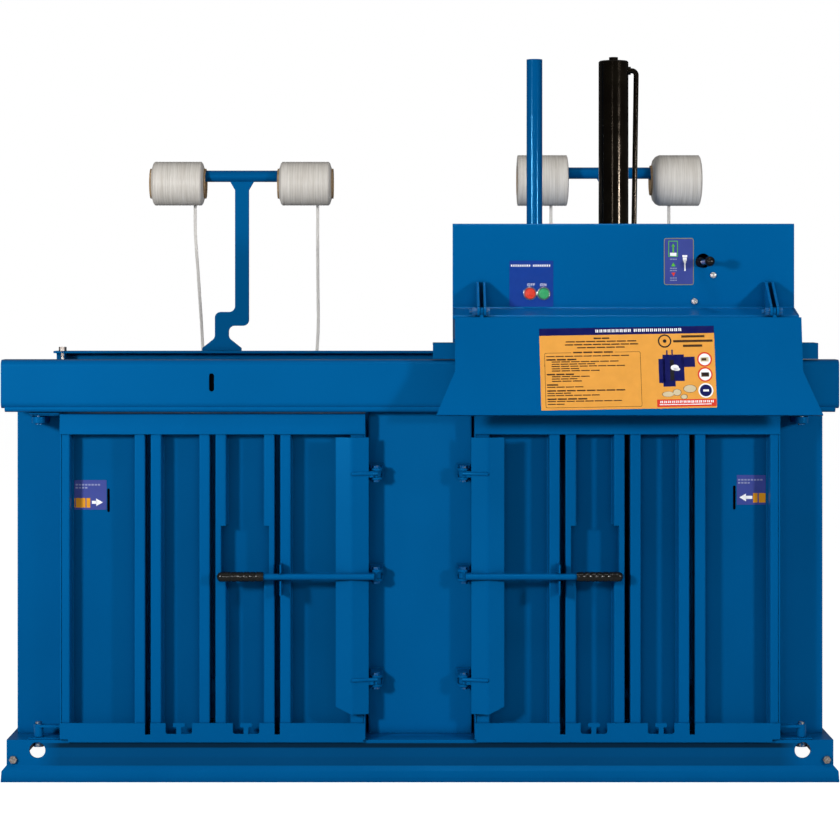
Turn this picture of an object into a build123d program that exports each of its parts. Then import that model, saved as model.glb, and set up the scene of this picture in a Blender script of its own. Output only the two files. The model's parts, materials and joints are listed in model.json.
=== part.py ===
from build123d import *
from math import cos, radians, sin, tan
import os

os.makedirs("parts", exist_ok=True)

# Twin-chamber recycling baler. Millimetres, X to the right, Y to the back, Z up.
# The origin is on the floor, under the middle of the whole machine.
# Depths are counted from the faces of the closed doors, towards the back.

# Sheets, plates and fits
sheet = 4.0
wall_plate = 5.0
frame_plate = 6.0
arm_plate = 12.0
running_fit = 0.05
rest_gap = 0.3
swing_gap = 3.0

# Strap spools, their posts and the straps
spool_depth = 907.0
left_spool_z = 1536.0
right_spool_z = 1545.0
small_winding_radius = 63.0
large_winding_radius = 73.0
small_winding_width = 150.0
large_winding_width = 136.0
winding_chamfer = 9.0
core_bore_radius = 38.0
core_wall = 5.0
core_overhang = 5.0
arm_radius = 16.5
spool_spread = 183.0
left_post_x = -512.0
right_post_x = 543.0
post_width = 40.0
post_plate = 12.0
post_foot_shift = 58.0
post_foot_width = 113.0
post_foot_drop = 80.0
post_bend_rise = 71.0
post_bend_radius = 17.0
strap_width = 9.0

# Flap over the feed side of the head
flap_stand_off = 98.0
flap_kick = 49.0
flap_width = 852.0
flap_mouth_width = 944.0
flap_top_z = 1163.0
flap_knee_z = 1032.0
flap_low_z = 925.0
flap_sheet = 3.0
flap_return = 16.0

# Whole machine in depth
front_reach = flap_stand_off + flap_kick
rear_reach = spool_depth + large_winding_radius
face_y = (front_reach - rear_reach) / 2

# Base frame
base_length = 2070.0
base_front = 8.0
base_rear_overhang = 140.0
base_top_z = 104.0
skirt_top_z = 40.0
skirt_knee_z = 28.0
skirt_flare = 11.0
skirt_lean = 2.0
lifting_hole_radius = 20.0
lifting_hole_x = 958.0
lifting_hole_z = 78.0
base_bolt_x = 1018.0
base_bolt_z = 55.0
base_bolt_radius = 10.0
base_bolt_height = 8.0

# Chambers
chamber_x = 519.0
chamber_depth = 690.0
post_set_back = 100.0
body_half = 1023.5
inner_wall_x = 898.0
wall_top_z = 1030.0
divider_half = 132.0
divider_top_z = 970.0
floor_thickness = 24.0
channel_spread = 84.0
channel_width = 22.0
channel_slit = 14.0
channel_depth = 12.0
chute_length = 90.0
chute_half = 20.0
chute_opening = 28.0
rear_slot_margin = 60.0

# Rails and track
rail_end_overhang = 20.5
rail_low_z = 935.0
rail_height = 121.0
rail_depth = 65.0
rail_overhang = 25.0
rail_bend = 15.0
track_span = 926.0
rail_slot_length = 45.0
rail_slot_width = 12.5
rail_slot_z = 1000.0
roller_radius = 50.0
roller_width = 38.0
axle_radius = 10.0

# Doors
door_width = 764.0
door_low_z = 106.0
door_top_z = 921.0
door_depth = 80.0
top_beam = 52.0
bottom_beam = 41.0
lip_drop = 7.2
lip_outer_gap = 20.0
outer_stile = 25.0
inner_stile = 37.0
skin_set_back = 4.0
recess_depth = 45.0
slot_pitch = 162.0
slot_width = 13.5
rib_width = 27.0
skin_bend = 4.0
hand_notch_depth = 13.0
hand_notch_low_z = 505.0
hand_notch_high_z = 640.0
beam_slot_depth = 28.0
horn_width = 30.0
horn_waist = 12.5
horn_head = 10.0
horn_pocket_width = 66.0
horn_pocket_depth = 27.0

# Door hinges
hinge_x = 958.0
hinge_depth = 30.0
hinge_pin_radius = 8.0
knuckle_radius = 12.0
hinge_plate = 6.0
hinge_arm_width = 40.0
hinge_lug_height = 16.0
hinge_lug_radius = 17.0
lower_knuckle_length = 32.0
lower_pin_rise = 6.0
pin_collar_radius = 14.0
pin_collar_height = 14.0

# Door locks
lock_x = 110.0
lock_depth = 10.0
lock_bolt_radius = 6.0
lock_knuckle_radius = 12.0
lock_knuckle_height = 16.0
lock_ear_radius = 15.0
lock_ear_plate = 6.0
lock_heights = (770.0, 516.0, 252.0)
lock_plate_low_z = 172.0
lock_plate_high_z = 862.0
lock_plate_inner_x = 129.0
lock_plate_ridge_x = 170.0
lock_plate_outer_x = 209.0
lock_ridge_reach = 17.0
lock_edge_reach = 7.0
lock_arm_depth = 12.0
lock_plate_bend = 12.0
lock_plate_slant = 18.0
lever_reach = 36.0
lever_z = 516.0
lever_radius = 8.0
lever_end_x = 494.0
grip_start_x = 390.0
grip_end_x = 506.0
grip_radius = 12.5
grip_ring_count = 6
catch_x = 347.0
catch_reach = 42.0
catch_low_z = 470.0
catch_high_z = 547.0

# Press head
panel_x = 512.0
housing_x = 508.5
head_length = 854.0
head_side_inset = 12.0
head_low_z = 1098.0
panel_low_z = 1185.0
panel_high_z = 1396.0
panel_bend = 6.0
ledge_reach = 80.0
ledge_drop = 18.0
carriage_length = 960.0
carriage_rear_length = 836.0
carriage_top_z = 1098.0
carriage_gap = 2.0
axle_spread = 376.0
axle_arm_width = 80.0
axle_arm_low_z = 965.0
cross_tube = 60.0
press_beam_width = 130.0
press_beam_height = 80.0

# Hydraulic cylinder, ram and guide
barrel_radius = 40.0
barrel_bore_radius = 33.0
barrel_low_z = 1108.0
barrel_top_z = 1844.0
stub_height = 10.0
stub_radius = 12.0
rod_radius = 25.0
gland_height = 42.0
piston_height = 30.0
cap_height = 28.0
flange_radius = 70.0
flange_height = 20.0
pipe_radius = 7.0
pipe_offset_top = 61.0
pipe_offset_low = 52.0
pipe_z = 1818.0
pipe_bend = 12.0
guide_offset = 212.0
guide_radius = 21.2
guide_wall = 4.0
guide_top_z = 1848.0
bush_radius = 30.0
platen_low_z = 985.0
platen_height = 80.0
platen_width = 740.0
platen_length = 650.0
platen_plate = 10.0

# Flap hinge
flap_axis_depth = -91.0
flap_axis_z = 1178.0
flap_hinge_spread = 360.0
flap_bolt_radius = 6.0
flap_lug_plate = 6.0
flap_lug_gap = 10.0
flap_lug_radius = 13.0
flap_lug_high_z = 1250.0
flap_bolt_length = 62.0
flap_bolt_head = 12.0
flap_bolt_nut = 9.0

# Controls
button_radius = 11.0
button_height = 8.0
bezel_radius = 14.7
bezel_height = 4.0
button_z = 1221.0
off_button_x = 275.0
on_button_x = 309.0
valve_x = 708.0
valve_z = 1303.0
valve_ball_radius = 17.0
valve_knob_radius = 11.5
valve_lever_length = 56.0

# Hydraulic pack inside the head
motor_x = 722.0
motor_depth = 620.0
motor_radius = 70.0
motor_length = 220.0
motor_centre_rise = 78.0
motor_fan_length = 25.0
motor_foot_length = 140.0
motor_foot_width = 120.0
terminal_box_length = 70.0
terminal_box_rise = 90.0
tank_low_x = 142.0
tank_length = 280.0
tank_depth = 560.0
tank_width = 230.0
tank_height = 190.0
tank_corner = 20.0
tank_cap_radius = 18.0
tank_cap_height = 22.0
shelf_bar_width = 30.0
shelf_bar_height = 8.0
shelf_bar_depths = (580.0, 640.0, 770.0)

# Places that follow from the sizes
mid_y = face_y - rail_overhang + track_span / 2
post_y = face_y + post_set_back
rear_wall_y = post_y + chamber_depth
rail_front_y = face_y - rail_overhang
rail_back_y = rail_front_y + track_span
spool_y = face_y + spool_depth
door_low_x = chamber_x - door_width / 2
door_high_x = chamber_x + door_width / 2
axle_z = rail_low_z + frame_plate + roller_radius + rest_gap
rail_top_z = rail_low_z + rail_height
slot_offsets = (-slot_pitch, 0.0, slot_pitch)
horn_offsets = (-channel_spread, channel_spread)
base_depth = post_set_back + chamber_depth + base_rear_overhang - base_front
rail_half = body_half + rail_end_overhang
rear_wall_top_z = rail_low_z - wall_plate


def box(x0, x1, y0, y1, z0, z1):
    """Plate or bar between two corners."""
    middle = Pos((x0 + x1) / 2, (y0 + y1) / 2, (z0 + z1) / 2)
    return middle * Box(abs(x1 - x0), abs(y1 - y0), abs(z1 - z0))


def along_x(section, x0, x1):
    """Section drawn in Y and Z, run from x0 to x1."""
    plane = Plane(origin=(x0, 0, 0), x_dir=(0, 1, 0), z_dir=(1, 0, 0))
    return extrude(plane * section, amount=x1 - x0, dir=(1, 0, 0))


def along_y(section, y0, y1):
    """Section drawn in X and Z, run from y0 back to y1."""
    plane = Plane(origin=(0, y0, 0), x_dir=(1, 0, 0), z_dir=(0, -1, 0))
    return extrude(plane * section, amount=y1 - y0, dir=(0, 1, 0))


def along_z(section, z0, z1):
    """Section drawn in X and Y, run from z0 up to z1."""
    return extrude(Pos(0, 0, z0) * section, amount=z1 - z0, dir=(0, 0, 1))


def round_x(radius, x0, x1, y, z):
    return along_x(Pos(y, z) * Circle(radius), x0, x1)


def round_y(radius, x, y0, y1, z):
    return along_y(Pos(x, z) * Circle(radius), y0, y1)


def round_z(radius, x, y, z0, z1):
    return along_z(Pos(x, y) * Circle(radius), z0, z1)


def bent(points, radius, thickness, side):
    """Section of a folded sheet whose one face follows the points."""
    line = FilletPolyline(*points, radius=radius)
    return make_face(offset(line, amount=thickness, side=side))


def hex_bolt_z(radius, x, y, z0, z1):
    """Bolt along Z with a hexagon head on top and a nut below."""
    head = along_z(Pos(x, y) * RegularPolygon(radius * 1.7, 6), z1, z1 + radius)
    nut = along_z(Pos(x, y) * RegularPolygon(radius * 1.7, 6), z0 - radius, z0)
    return round_z(radius, x, y, z0, z1) + head + nut


def mirror_x(shape):
    return mirror(shape, about=Plane.YZ)


def mirror_mid(shape):
    """The same piece at the other track, seen about the middle of the chambers."""
    return mirror(shape, about=Plane.XZ.offset(-mid_y))


def save(shape, name):
    export_step(shape, f"parts/{name}.step")


# Base frame: folded deck with a flared skirt, open below
def skirted_block(inset):
    half = base_length / 2 - inset
    depth = base_depth - 2 * inset
    middle_y = face_y + base_front + base_depth / 2
    deck = Pos(0, middle_y) * Rectangle(2 * half, depth)
    knee = Pos(0, middle_y) * Rectangle(2 * (half + skirt_flare), depth + 2 * skirt_flare)
    foot_out = skirt_flare + skirt_lean
    foot = Pos(0, middle_y) * Rectangle(2 * (half + foot_out), depth + 2 * foot_out)
    upper = along_z(deck, skirt_top_z, base_top_z - inset)
    flare = loft([Pos(0, 0, skirt_knee_z) * knee.face(), Pos(0, 0, skirt_top_z) * deck.face()])
    lower = loft([foot.face(), Pos(0, 0, skirt_knee_z) * knee.face()])
    return upper + flare + lower


def base_frame():
    shell = skirted_block(0) - skirted_block(frame_plate)
    front = face_y + base_front
    back = front + base_depth
    for side in (-1, 1):
        shell -= round_y(lifting_hole_radius, side * lifting_hole_x, front - 30, back + 30,
                         lifting_hole_z)
        pin_hole = round_z(hinge_pin_radius, side * hinge_x, face_y + hinge_depth, 60, base_top_z)
        shell -= pin_hole
    return shell


def base_bolts():
    """Hexagon bolts near the ends of the base, on its front and rear faces."""
    bolts = []
    front = face_y + base_front
    back = front + base_depth
    for side in (-1, 1):
        head = Pos(side * base_bolt_x, base_bolt_z) * RegularPolygon(base_bolt_radius, 6)
        bolts.append(along_y(head, front - base_bolt_height, front))
        bolts.append(along_y(head, back, back + base_bolt_height))
    return Compound(children=bolts)


# Chamber floors with undercut strap channels
def chamber_floor(x):
    low = x - door_width / 2 + 1
    high = min(x + door_width / 2, inner_wall_x) - 1
    height = floor_thickness
    section = Pos((low + high) / 2, base_top_z + height / 2) * Rectangle(high - low, height)
    for offset_x in horn_offsets:
        groove_z = base_top_z + height - 4 - channel_depth / 2
        section -= Pos(x + offset_x, groove_z) * Rectangle(channel_width, channel_depth)
        section -= Pos(x + offset_x, base_top_z + height - 2) * Rectangle(channel_slit, 6)
    return along_y(section, face_y + door_depth + swing_gap, rear_wall_y)


# Side walls: one sheet folded to a hollow post, with a cap
def side_wall(side):
    points = [
        (body_half, rear_wall_y + 44),
        (body_half, post_y),
        (inner_wall_x, post_y),
        (inner_wall_x, rear_wall_y),
    ]
    wall = along_z(bent(points, skin_bend, wall_plate, Side.RIGHT), base_top_z, wall_top_z)
    cap = box(inner_wall_x + wall_plate - 1, body_half - wall_plate + 1, post_y + wall_plate - 1,
              rear_wall_y, wall_top_z - wall_plate, wall_top_z)
    wall = wall + cap
    return wall if side > 0 else mirror_x(wall)


# Centre post between the chambers, with the brackets that carry both rails
def centre_post():
    points = [
        (-divider_half, rear_wall_y),
        (-divider_half, post_y),
        (divider_half, post_y),
        (divider_half, rear_wall_y),
    ]
    post = along_z(bent(points, skin_bend, wall_plate, Side.LEFT), base_top_z, divider_top_z)
    inside = divider_half - wall_plate + 1
    post += box(-inside, inside, post_y + wall_plate - 1, rear_wall_y,
                divider_top_z - wall_plate, divider_top_z)
    bracket_half = divider_half - wall_plate / 2
    front_bracket = box(-bracket_half, bracket_half, rail_front_y + rail_bend, post_y + 1,
                        rail_low_z - wall_plate, rail_low_z)
    rear_bracket = box(-bracket_half, bracket_half, rear_wall_y - 30, rail_back_y - rail_bend,
                       rail_low_z - wall_plate, rail_low_z)
    return post + front_bracket + rear_bracket


# Rear wall: flat sheet with strap slots, each slot between two angle ribs
def rear_wall():
    half = body_half - wall_plate
    wall = box(-half, half, rear_wall_y, rear_wall_y + wall_plate, base_top_z, rear_wall_top_z)
    rib_y = rear_wall_y + wall_plate
    for side in (-1, 1):
        for offset_x in slot_offsets:
            x = side * chamber_x + offset_x
            wall -= box(x - slot_width / 2, x + slot_width / 2, rear_wall_y - 1, rib_y + 1,
                        base_top_z + 40, rear_wall_top_z - rear_slot_margin)
            for hand in (-1, 1):
                cheek = x + hand * slot_width / 2
                wall += box(cheek, cheek + hand * sheet, rib_y - 1, rib_y + recess_depth - 5,
                            base_top_z, rear_wall_top_z)
                wall += box(cheek, cheek + hand * rib_width, rib_y + recess_depth - 5 - sheet,
                            rib_y + recess_depth - 5, base_top_z, rear_wall_top_z)
        for offset_x in horn_offsets:
            wall += strap_chute(side * chamber_x + offset_x)
            wall -= box(side * chamber_x + offset_x - channel_slit / 2,
                        side * chamber_x + offset_x + channel_slit / 2,
                        rear_wall_y - 1, rib_y + 1, base_top_z + 8, base_top_z + floor_thickness)
    return wall


def strap_chute(x):
    """Short tunnel that leads a strap from behind through the wall into its channel."""
    back_y = rear_wall_y + chute_length
    low = base_top_z + sheet
    outer = box(x - chute_half, x + chute_half, rear_wall_y + wall_plate, back_y, base_top_z,
                low + chute_opening + sheet)
    inner = box(x - chute_half + sheet, x + chute_half - sheet, rear_wall_y + wall_plate,
                back_y + 1, low, low + chute_opening)
    return outer - inner


# Rails: rolled channels open towards each other, with end stops and a locking slot
def front_rail():
    back = rail_front_y + rail_depth
    points = [
        (back, rail_top_z),
        (rail_front_y, rail_top_z),
        (rail_front_y, rail_low_z),
        (back, rail_low_z),
    ]
    section = bent(points, rail_bend, frame_plate, Side.LEFT)
    rail = along_x(section, -rail_half, rail_half)
    for side in (-1, 1):
        rail += end_stop(side)
        slot = Pos(side * chamber_x, rail_slot_z) * SlotOverall(rail_slot_length,
                                                                rail_slot_width, 90)
        rail -= along_y(slot, rail_front_y - 1, rail_front_y + frame_plate + 1)
    return rail


def end_stop(side):
    """Plate inside the channel's end that ties the rail to the side wall."""
    inner = side * (body_half - arm_plate)
    return box(inner, side * body_half, rail_front_y + frame_plate - 1, post_y,
               rail_low_z + frame_plate - 1, rail_top_z - frame_plate + 1)


def rear_rail():
    front = rail_back_y - rail_depth
    points = [
        (front, rail_low_z),
        (rail_back_y, rail_low_z),
        (rail_back_y, rail_top_z),
        (front, rail_top_z),
    ]
    section = bent(points, rail_bend, frame_plate, Side.LEFT)
    rail = along_x(section, -rail_half, rail_half)
    for side in (-1, 1):
        inner = side * (body_half - arm_plate)
        rail += box(inner, side * body_half, rear_wall_y + 44, rail_back_y - frame_plate + 1,
                    rail_low_z + frame_plate - 1, rail_top_z - frame_plate + 1)
        rail += round_z(7, side * (rail_half - 22), rail_back_y - 30, rail_top_z - 1,
                        rail_top_z + 10)
    return rail


# Door skin: one corrugated sheet with three strap slots between rib pairs
def door_skin():
    front = face_y + skin_set_back
    deep = front + recess_depth
    points = [
        (door_high_x - sheet - 1, front),
        (door_high_x - outer_stile, front),
        (door_high_x - outer_stile, deep),
    ]
    half_slot = slot_width / 2
    for offset_x in reversed(slot_offsets):
        x = chamber_x + offset_x
        points += [
            (x + half_slot + rib_width, deep),
            (x + half_slot + rib_width, front),
            (x + half_slot, front),
            (x + half_slot, deep),
            (x - half_slot, deep),
            (x - half_slot, front),
            (x - half_slot - rib_width, front),
            (x - half_slot - rib_width, deep),
        ]
    points += [
        (door_low_x + inner_stile, deep),
        (door_low_x + inner_stile, front),
        (door_low_x + sheet + 1, front),
    ]
    section = bent(points, skin_bend, sheet, Side.RIGHT)
    skin = along_z(section, door_low_z + sheet, door_top_z - sheet)
    slot_high = door_top_z - top_beam + 15
    for offset_x in slot_offsets:
        x = chamber_x + offset_x
        low = door_low_z + bottom_beam
        if offset_x != 0:
            low -= beam_slot_depth
        skin -= box(x - half_slot, x + half_slot, deep - skin_bend - 1, deep + sheet + 1,
                    low, slot_high)
    for edge, hand in notch_edges():
        skin -= notch_block(edge - hand * (sheet + 1), edge + hand * hand_notch_depth, -1, 0)
        skin += notch_block(edge, edge + hand * (hand_notch_depth + sheet), 0, sheet)
        skin -= notch_block(edge - hand * (sheet + 1), edge + hand * hand_notch_depth, -1, 0)
    return skin + lever_catch()


def notch_edges():
    """Outer edge of the rib beside the grip, for the two ribs that the hand reaches past."""
    return [
        (chamber_x - slot_width / 2 - rib_width, 1),
        (chamber_x - slot_pitch + slot_width / 2 + rib_width, -1),
    ]


def notch_block(x0, x1, front_gap, wall):
    """Room of a hand notch, or with a wall the folded pocket that closes the notch."""
    front = face_y + skin_set_back + front_gap
    return box(x0, x1, front, face_y + skin_set_back + recess_depth + wall,
               hand_notch_low_z - wall, hand_notch_high_z + wall)


# Door frame: channel beams above and below the skin, stile plates and hinge knuckles
def horn_pocket(x):
    """Pocket in the top edge of the bottom beam, with a mushroom-shaped strap horn in it."""
    top_z = door_low_z + bottom_beam
    pocket = Pos(x, top_z - horn_pocket_depth / 2 + 1) * Rectangle(horn_pocket_width,
                                                                  horn_pocket_depth + 2)
    pocket = fillet(pocket.vertices().group_by(Axis.Y)[0], 6)
    waist = Pos(x, top_z - horn_pocket_depth / 2) * Rectangle(horn_waist, horn_pocket_depth + 2)
    head = Pos(x, top_z - horn_head / 2) * Rectangle(horn_width, horn_head)
    head = fillet(head.vertices(), 3.5)
    return pocket - waist - head


def beam_face():
    """Front web of the bottom beam, with its lip, slots and horns."""
    top_z = door_low_z + bottom_beam
    web = Pos(chamber_x, (door_low_z + top_z) / 2) * Rectangle(door_width, bottom_beam)
    lip_low_x = door_low_x + sheet
    lip_high_x = door_high_x - lip_outer_gap
    web += Pos((lip_low_x + lip_high_x) / 2, door_low_z - lip_drop / 2 + 0.5) * Rectangle(
        lip_high_x - lip_low_x, lip_drop + 1)
    for offset_x in (-slot_pitch, slot_pitch):
        web -= Pos(chamber_x + offset_x, top_z - beam_slot_depth / 2) * Rectangle(
            slot_width, beam_slot_depth + 1)
    for offset_x in horn_offsets:
        web -= horn_pocket(chamber_x + offset_x)
    return web


def door_frame():
    back = face_y + door_depth
    rear_flange_y = back - sheet
    top_low_z = door_top_z - top_beam
    bottom_high_z = door_low_z + bottom_beam
    points = [
        (face_y, top_low_z),
        (face_y, door_top_z),
        (back, door_top_z),
        (back, top_low_z),
    ]
    top = along_x(bent(points, skin_bend, sheet, Side.RIGHT), door_low_x, door_high_x)
    bottom = along_y(beam_face(), face_y, face_y + sheet)
    bottom += box(door_low_x, door_high_x, face_y + 1, back, door_low_z, door_low_z + sheet)
    bottom += box(door_low_x, door_high_x, rear_flange_y, back, door_low_z, bottom_high_z)
    frame = top + bottom
    for x0, x1 in ((door_low_x, door_low_x + sheet), (door_high_x - sheet, door_high_x)):
        frame += box(x0, x1, face_y + skin_set_back, back, door_low_z, door_top_z - 1)
    return frame + door_knuckles()


def door_knuckles():
    """Upper hinge plate and lower hinge tube, on the door's outer edge."""
    axis_y = face_y + hinge_depth
    half = hinge_arm_width / 2
    upper_low = door_top_z - hinge_plate
    upper = box(door_high_x - 2, hinge_x, axis_y - half, axis_y + half, upper_low, door_top_z)
    upper += round_z(half, hinge_x, axis_y, upper_low, door_top_z)
    tube_low = base_top_z + sheet + rest_gap
    tube_high = tube_low + lower_knuckle_length
    tube = round_z(knuckle_radius, hinge_x, axis_y, tube_low, tube_high)
    arm_high = tube_high - 2
    tube += box(door_high_x - 2, hinge_x, axis_y - knuckle_radius, axis_y + knuckle_radius,
                arm_high - hinge_plate, arm_high)
    bore = round_z(hinge_pin_radius + running_fit, hinge_x, axis_y, tube_low - 1, door_top_z + 1)
    return upper + tube - bore


def lever_catch():
    """Notched plate on the rib, into which the lever swings from the front."""
    front = face_y + skin_set_back - catch_reach
    plate = box(catch_x - sheet / 2, catch_x + sheet / 2, front, face_y + skin_set_back + 1,
                catch_low_z, catch_high_z)
    notch_low = lever_z - lever_radius - 1.5
    notch_high = lever_z + lever_radius + 1.5
    lever_back_y = lever_axis_y() + lever_radius + 1.5
    notch = box(catch_x - sheet, catch_x + sheet, front - 1, lever_back_y, notch_low, notch_high)
    return plate - notch


# Door hinge brackets and pins on the body
def hinge_brackets():
    axis_y = face_y + hinge_depth
    half = hinge_arm_width / 2
    lug_high = door_top_z - hinge_plate - swing_gap
    pieces = []
    for side in (-1, 1):
        x = side * hinge_x
        lug_low = lug_high - hinge_lug_height
        lug = box(x - hinge_lug_radius, x + hinge_lug_radius, axis_y, post_y, lug_low, lug_high)
        lug += round_z(hinge_lug_radius, x, axis_y, lug_low, lug_high)
        lug -= round_z(hinge_pin_radius, x, axis_y, lug_low - 1, lug_high + 1)
        inner = side * (door_high_x + swing_gap)
        plate = box(inner, x + side * 24, axis_y - half + 3, axis_y + half + 3, base_top_z,
                    base_top_z + sheet)
        plate -= round_z(hinge_pin_radius, x, axis_y, base_top_z - 1, base_top_z + sheet + 1)
        pieces += [lug, plate]
    return Compound(children=pieces)


def hinge_pins():
    axis_y = face_y + hinge_depth
    lug_high = door_top_z - hinge_plate - swing_gap
    tube_high = base_top_z + sheet + rest_gap + lower_knuckle_length
    pins = []
    for side in (-1, 1):
        x = side * hinge_x
        upper = round_z(hinge_pin_radius, x, axis_y, lug_high - hinge_lug_height - 4,
                        door_top_z + 2)
        upper += round_z(hinge_pin_radius + 4, x, axis_y, door_top_z + rest_gap, door_top_z + 5)
        collar_high = base_top_z - frame_plate
        collar_low = collar_high - pin_collar_height
        lower = round_z(hinge_pin_radius, x, axis_y, collar_low, tube_high + lower_pin_rise)
        lower += round_z(pin_collar_radius, x, axis_y, collar_low, collar_high)
        pins += [upper, lower]
    return Compound(children=pins)


# Locks: bent clamping plate with a lever, hinged on clevis brackets of the centre post
def lever_axis_y():
    return face_y + lock_depth - lever_reach


def lock_brackets():
    axis_y = face_y + lock_depth
    pieces = []
    for side in (-1, 1):
        x = side * lock_x
        for z in lock_heights:
            gap = lock_knuckle_height / 2 + rest_gap
            bracket = box(x - 18, x + 18, post_y - lock_ear_plate, post_y,
                          z - gap - lock_ear_plate - 4, z + gap + lock_ear_plate + 4)
            for low in (z + gap, z - gap - lock_ear_plate):
                high = low + lock_ear_plate
                bracket += box(x - lock_ear_radius, x + lock_ear_radius, axis_y, post_y, low, high)
                bracket += round_z(lock_ear_radius, x, axis_y, low, high)
            bracket -= round_z(lock_bolt_radius, x, axis_y, z - 40, z + 40)
            pieces.append(bracket)
    return Compound(children=pieces)


def lock_bolts():
    bolts = []
    for side in (-1, 1):
        for z in lock_heights:
            grip = lock_knuckle_height / 2 + rest_gap + lock_ear_plate
            bolts.append(hex_bolt_z(lock_bolt_radius, side * lock_x, face_y + lock_depth,
                                    z - grip, z + grip))
    return Compound(children=bolts)


def lock_plate():
    """Clamping plate with its ridge to the front, its arms, knuckles and lever rod."""
    axis_y = face_y + lock_depth
    ridge_y = face_y - lock_ridge_reach
    edge_y = face_y - lock_edge_reach
    points = [(lock_plate_inner_x, edge_y), (lock_plate_ridge_x, ridge_y),
              (lock_plate_outer_x, edge_y + 2)]
    plate = along_z(bent(points, lock_plate_bend, wall_plate, Side.RIGHT), lock_plate_low_z,
                    lock_plate_high_z)
    slant = Polygon((lock_plate_ridge_x, lock_plate_low_z - 1),
                    (lock_plate_outer_x + 2, lock_plate_low_z - 1),
                    (lock_plate_outer_x + 2, lock_plate_low_z + lock_plate_slant), align=None)
    plate -= along_y(slant, ridge_y - 20, face_y + 20)
    half = lock_knuckle_height / 2
    for z in lock_heights:
        arm_end = lock_plate_ridge_x - 6
        plate += box(lock_x + 6, arm_end, edge_y - 3, edge_y - 3 + lock_arm_depth, z - half,
                     z + half)
        plate += box(lock_x - 4, lock_x + 10, edge_y + 2, axis_y, z - half, z + half)
        plate += round_z(lock_knuckle_radius, lock_x, axis_y, z - half, z + half)
        plate -= round_z(lock_bolt_radius + running_fit, lock_x, axis_y, z - 20, z + 20)
    rod_y = lever_axis_y()
    plate += round_x(lever_radius, lock_x + 4, lever_end_x, rod_y, lever_z)
    plate += box(lock_x + 4, lock_x + 20, rod_y, edge_y + 4, lever_z - half, lever_z + half)
    return plate


def lever_grip():
    """Rubber grip with moulded rings and a round end, over the lever's rod."""
    step = (grip_end_x - grip_start_x - 2 * grip_radius) / grip_ring_count
    points = [(grip_start_x, lever_radius), (grip_start_x, grip_radius - 1)]
    for index in range(grip_ring_count):
        x = grip_start_x + 4 + index * step
        points += [(x, grip_radius - 1), (x + 3, grip_radius), (x + step - 3, grip_radius)]
    round_start = grip_end_x - grip_radius
    side_line = Polyline(*points, (round_start, grip_radius))
    nose = RadiusArc((round_start, grip_radius), (grip_end_x, 0), grip_radius)
    inside = Polyline((grip_end_x, 0), (lever_end_x, 0), (lever_end_x, lever_radius),
                      (grip_start_x, lever_radius))
    section = make_face(side_line + nose + inside)
    return Pos(0, lever_axis_y(), lever_z) * revolve(section, Axis.X)


# Head: folded housing with a sloping ledge, closed by a rear cover
def head_housing():
    x0 = housing_x - head_length / 2
    x1 = housing_x + head_length / 2
    back = 2 * mid_y - face_y
    points = [
        (face_y - ledge_reach, panel_low_z - ledge_drop - 10),
        (face_y - ledge_reach, panel_low_z - ledge_drop),
        (face_y, panel_low_z),
        (face_y, panel_high_z),
        (back - sheet, panel_high_z),
    ]
    wrap = along_x(bent(points, panel_bend, sheet, Side.RIGHT), x0, x1)
    for outer, hand in ((x0, 1), (x1, -1)):
        side = outer + hand * head_side_inset
        wrap -= box(outer - hand, side, face_y + 2 * panel_bend, back, panel_high_z - 20,
                    panel_high_z + 1)
        wrap += box(side, side + hand * sheet, face_y + 1, back - sheet, head_low_z,
                    panel_high_z - 1)
        inner = outer + hand * sheet
        gusset = Polygon((face_y + 2, panel_low_z + 2),
                         (face_y - ledge_reach + 2, panel_low_z - ledge_drop + 1),
                         (face_y - ledge_reach + 2, panel_low_z - ledge_drop - 10),
                         (face_y + 2, panel_low_z - ledge_drop - 10), align=None)
        wrap += along_x(gusset, min(inner, outer), max(inner, outer))
    wrap -= round_z(barrel_radius + 8, chamber_x, mid_y, panel_high_z - 20, panel_high_z + 9)
    wrap -= round_z(pipe_radius + 6, chamber_x + pipe_offset_low, mid_y, panel_high_z - 20,
                    panel_high_z + 9)
    wrap -= round_z(guide_radius + 4, chamber_x - guide_offset, mid_y, panel_high_z - 20,
                    panel_high_z + 9)
    for x in (off_button_x, on_button_x):
        wrap -= round_y(button_radius + 2.6, x, face_y - 9, face_y + 9, button_z)
    wrap -= round_y(valve_ball_radius + 1, valve_x, face_y - 9, face_y + 9, valve_z)
    return wrap + flap_lugs()


def flap_lugs():
    """Two pairs of gusset ears on the panel, which carry the flap's hinge bolts."""
    axis_y = face_y + flap_axis_depth
    ear = make_face(Polyline((face_y + 1, flap_lug_high_z), (face_y + 1, panel_low_z - 6),
                             (axis_y + 4, flap_axis_z - flap_lug_radius + 1),
                             (axis_y, flap_axis_z), (axis_y - 8, flap_axis_z + 12),
                             (face_y - 12, flap_lug_high_z), close=True))
    ear += Pos(axis_y, flap_axis_z) * Circle(flap_lug_radius)
    ear -= Pos(axis_y, flap_axis_z) * Circle(flap_bolt_radius)
    ears = []
    for side in (-1, 1):
        for hand in (-1, 1):
            near = panel_x + side * flap_hinge_spread + hand * flap_lug_gap / 2
            far = near + hand * flap_lug_plate
            ears.append(along_x(ear, min(near, far), max(near, far)))
    return Part() + ears


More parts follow.
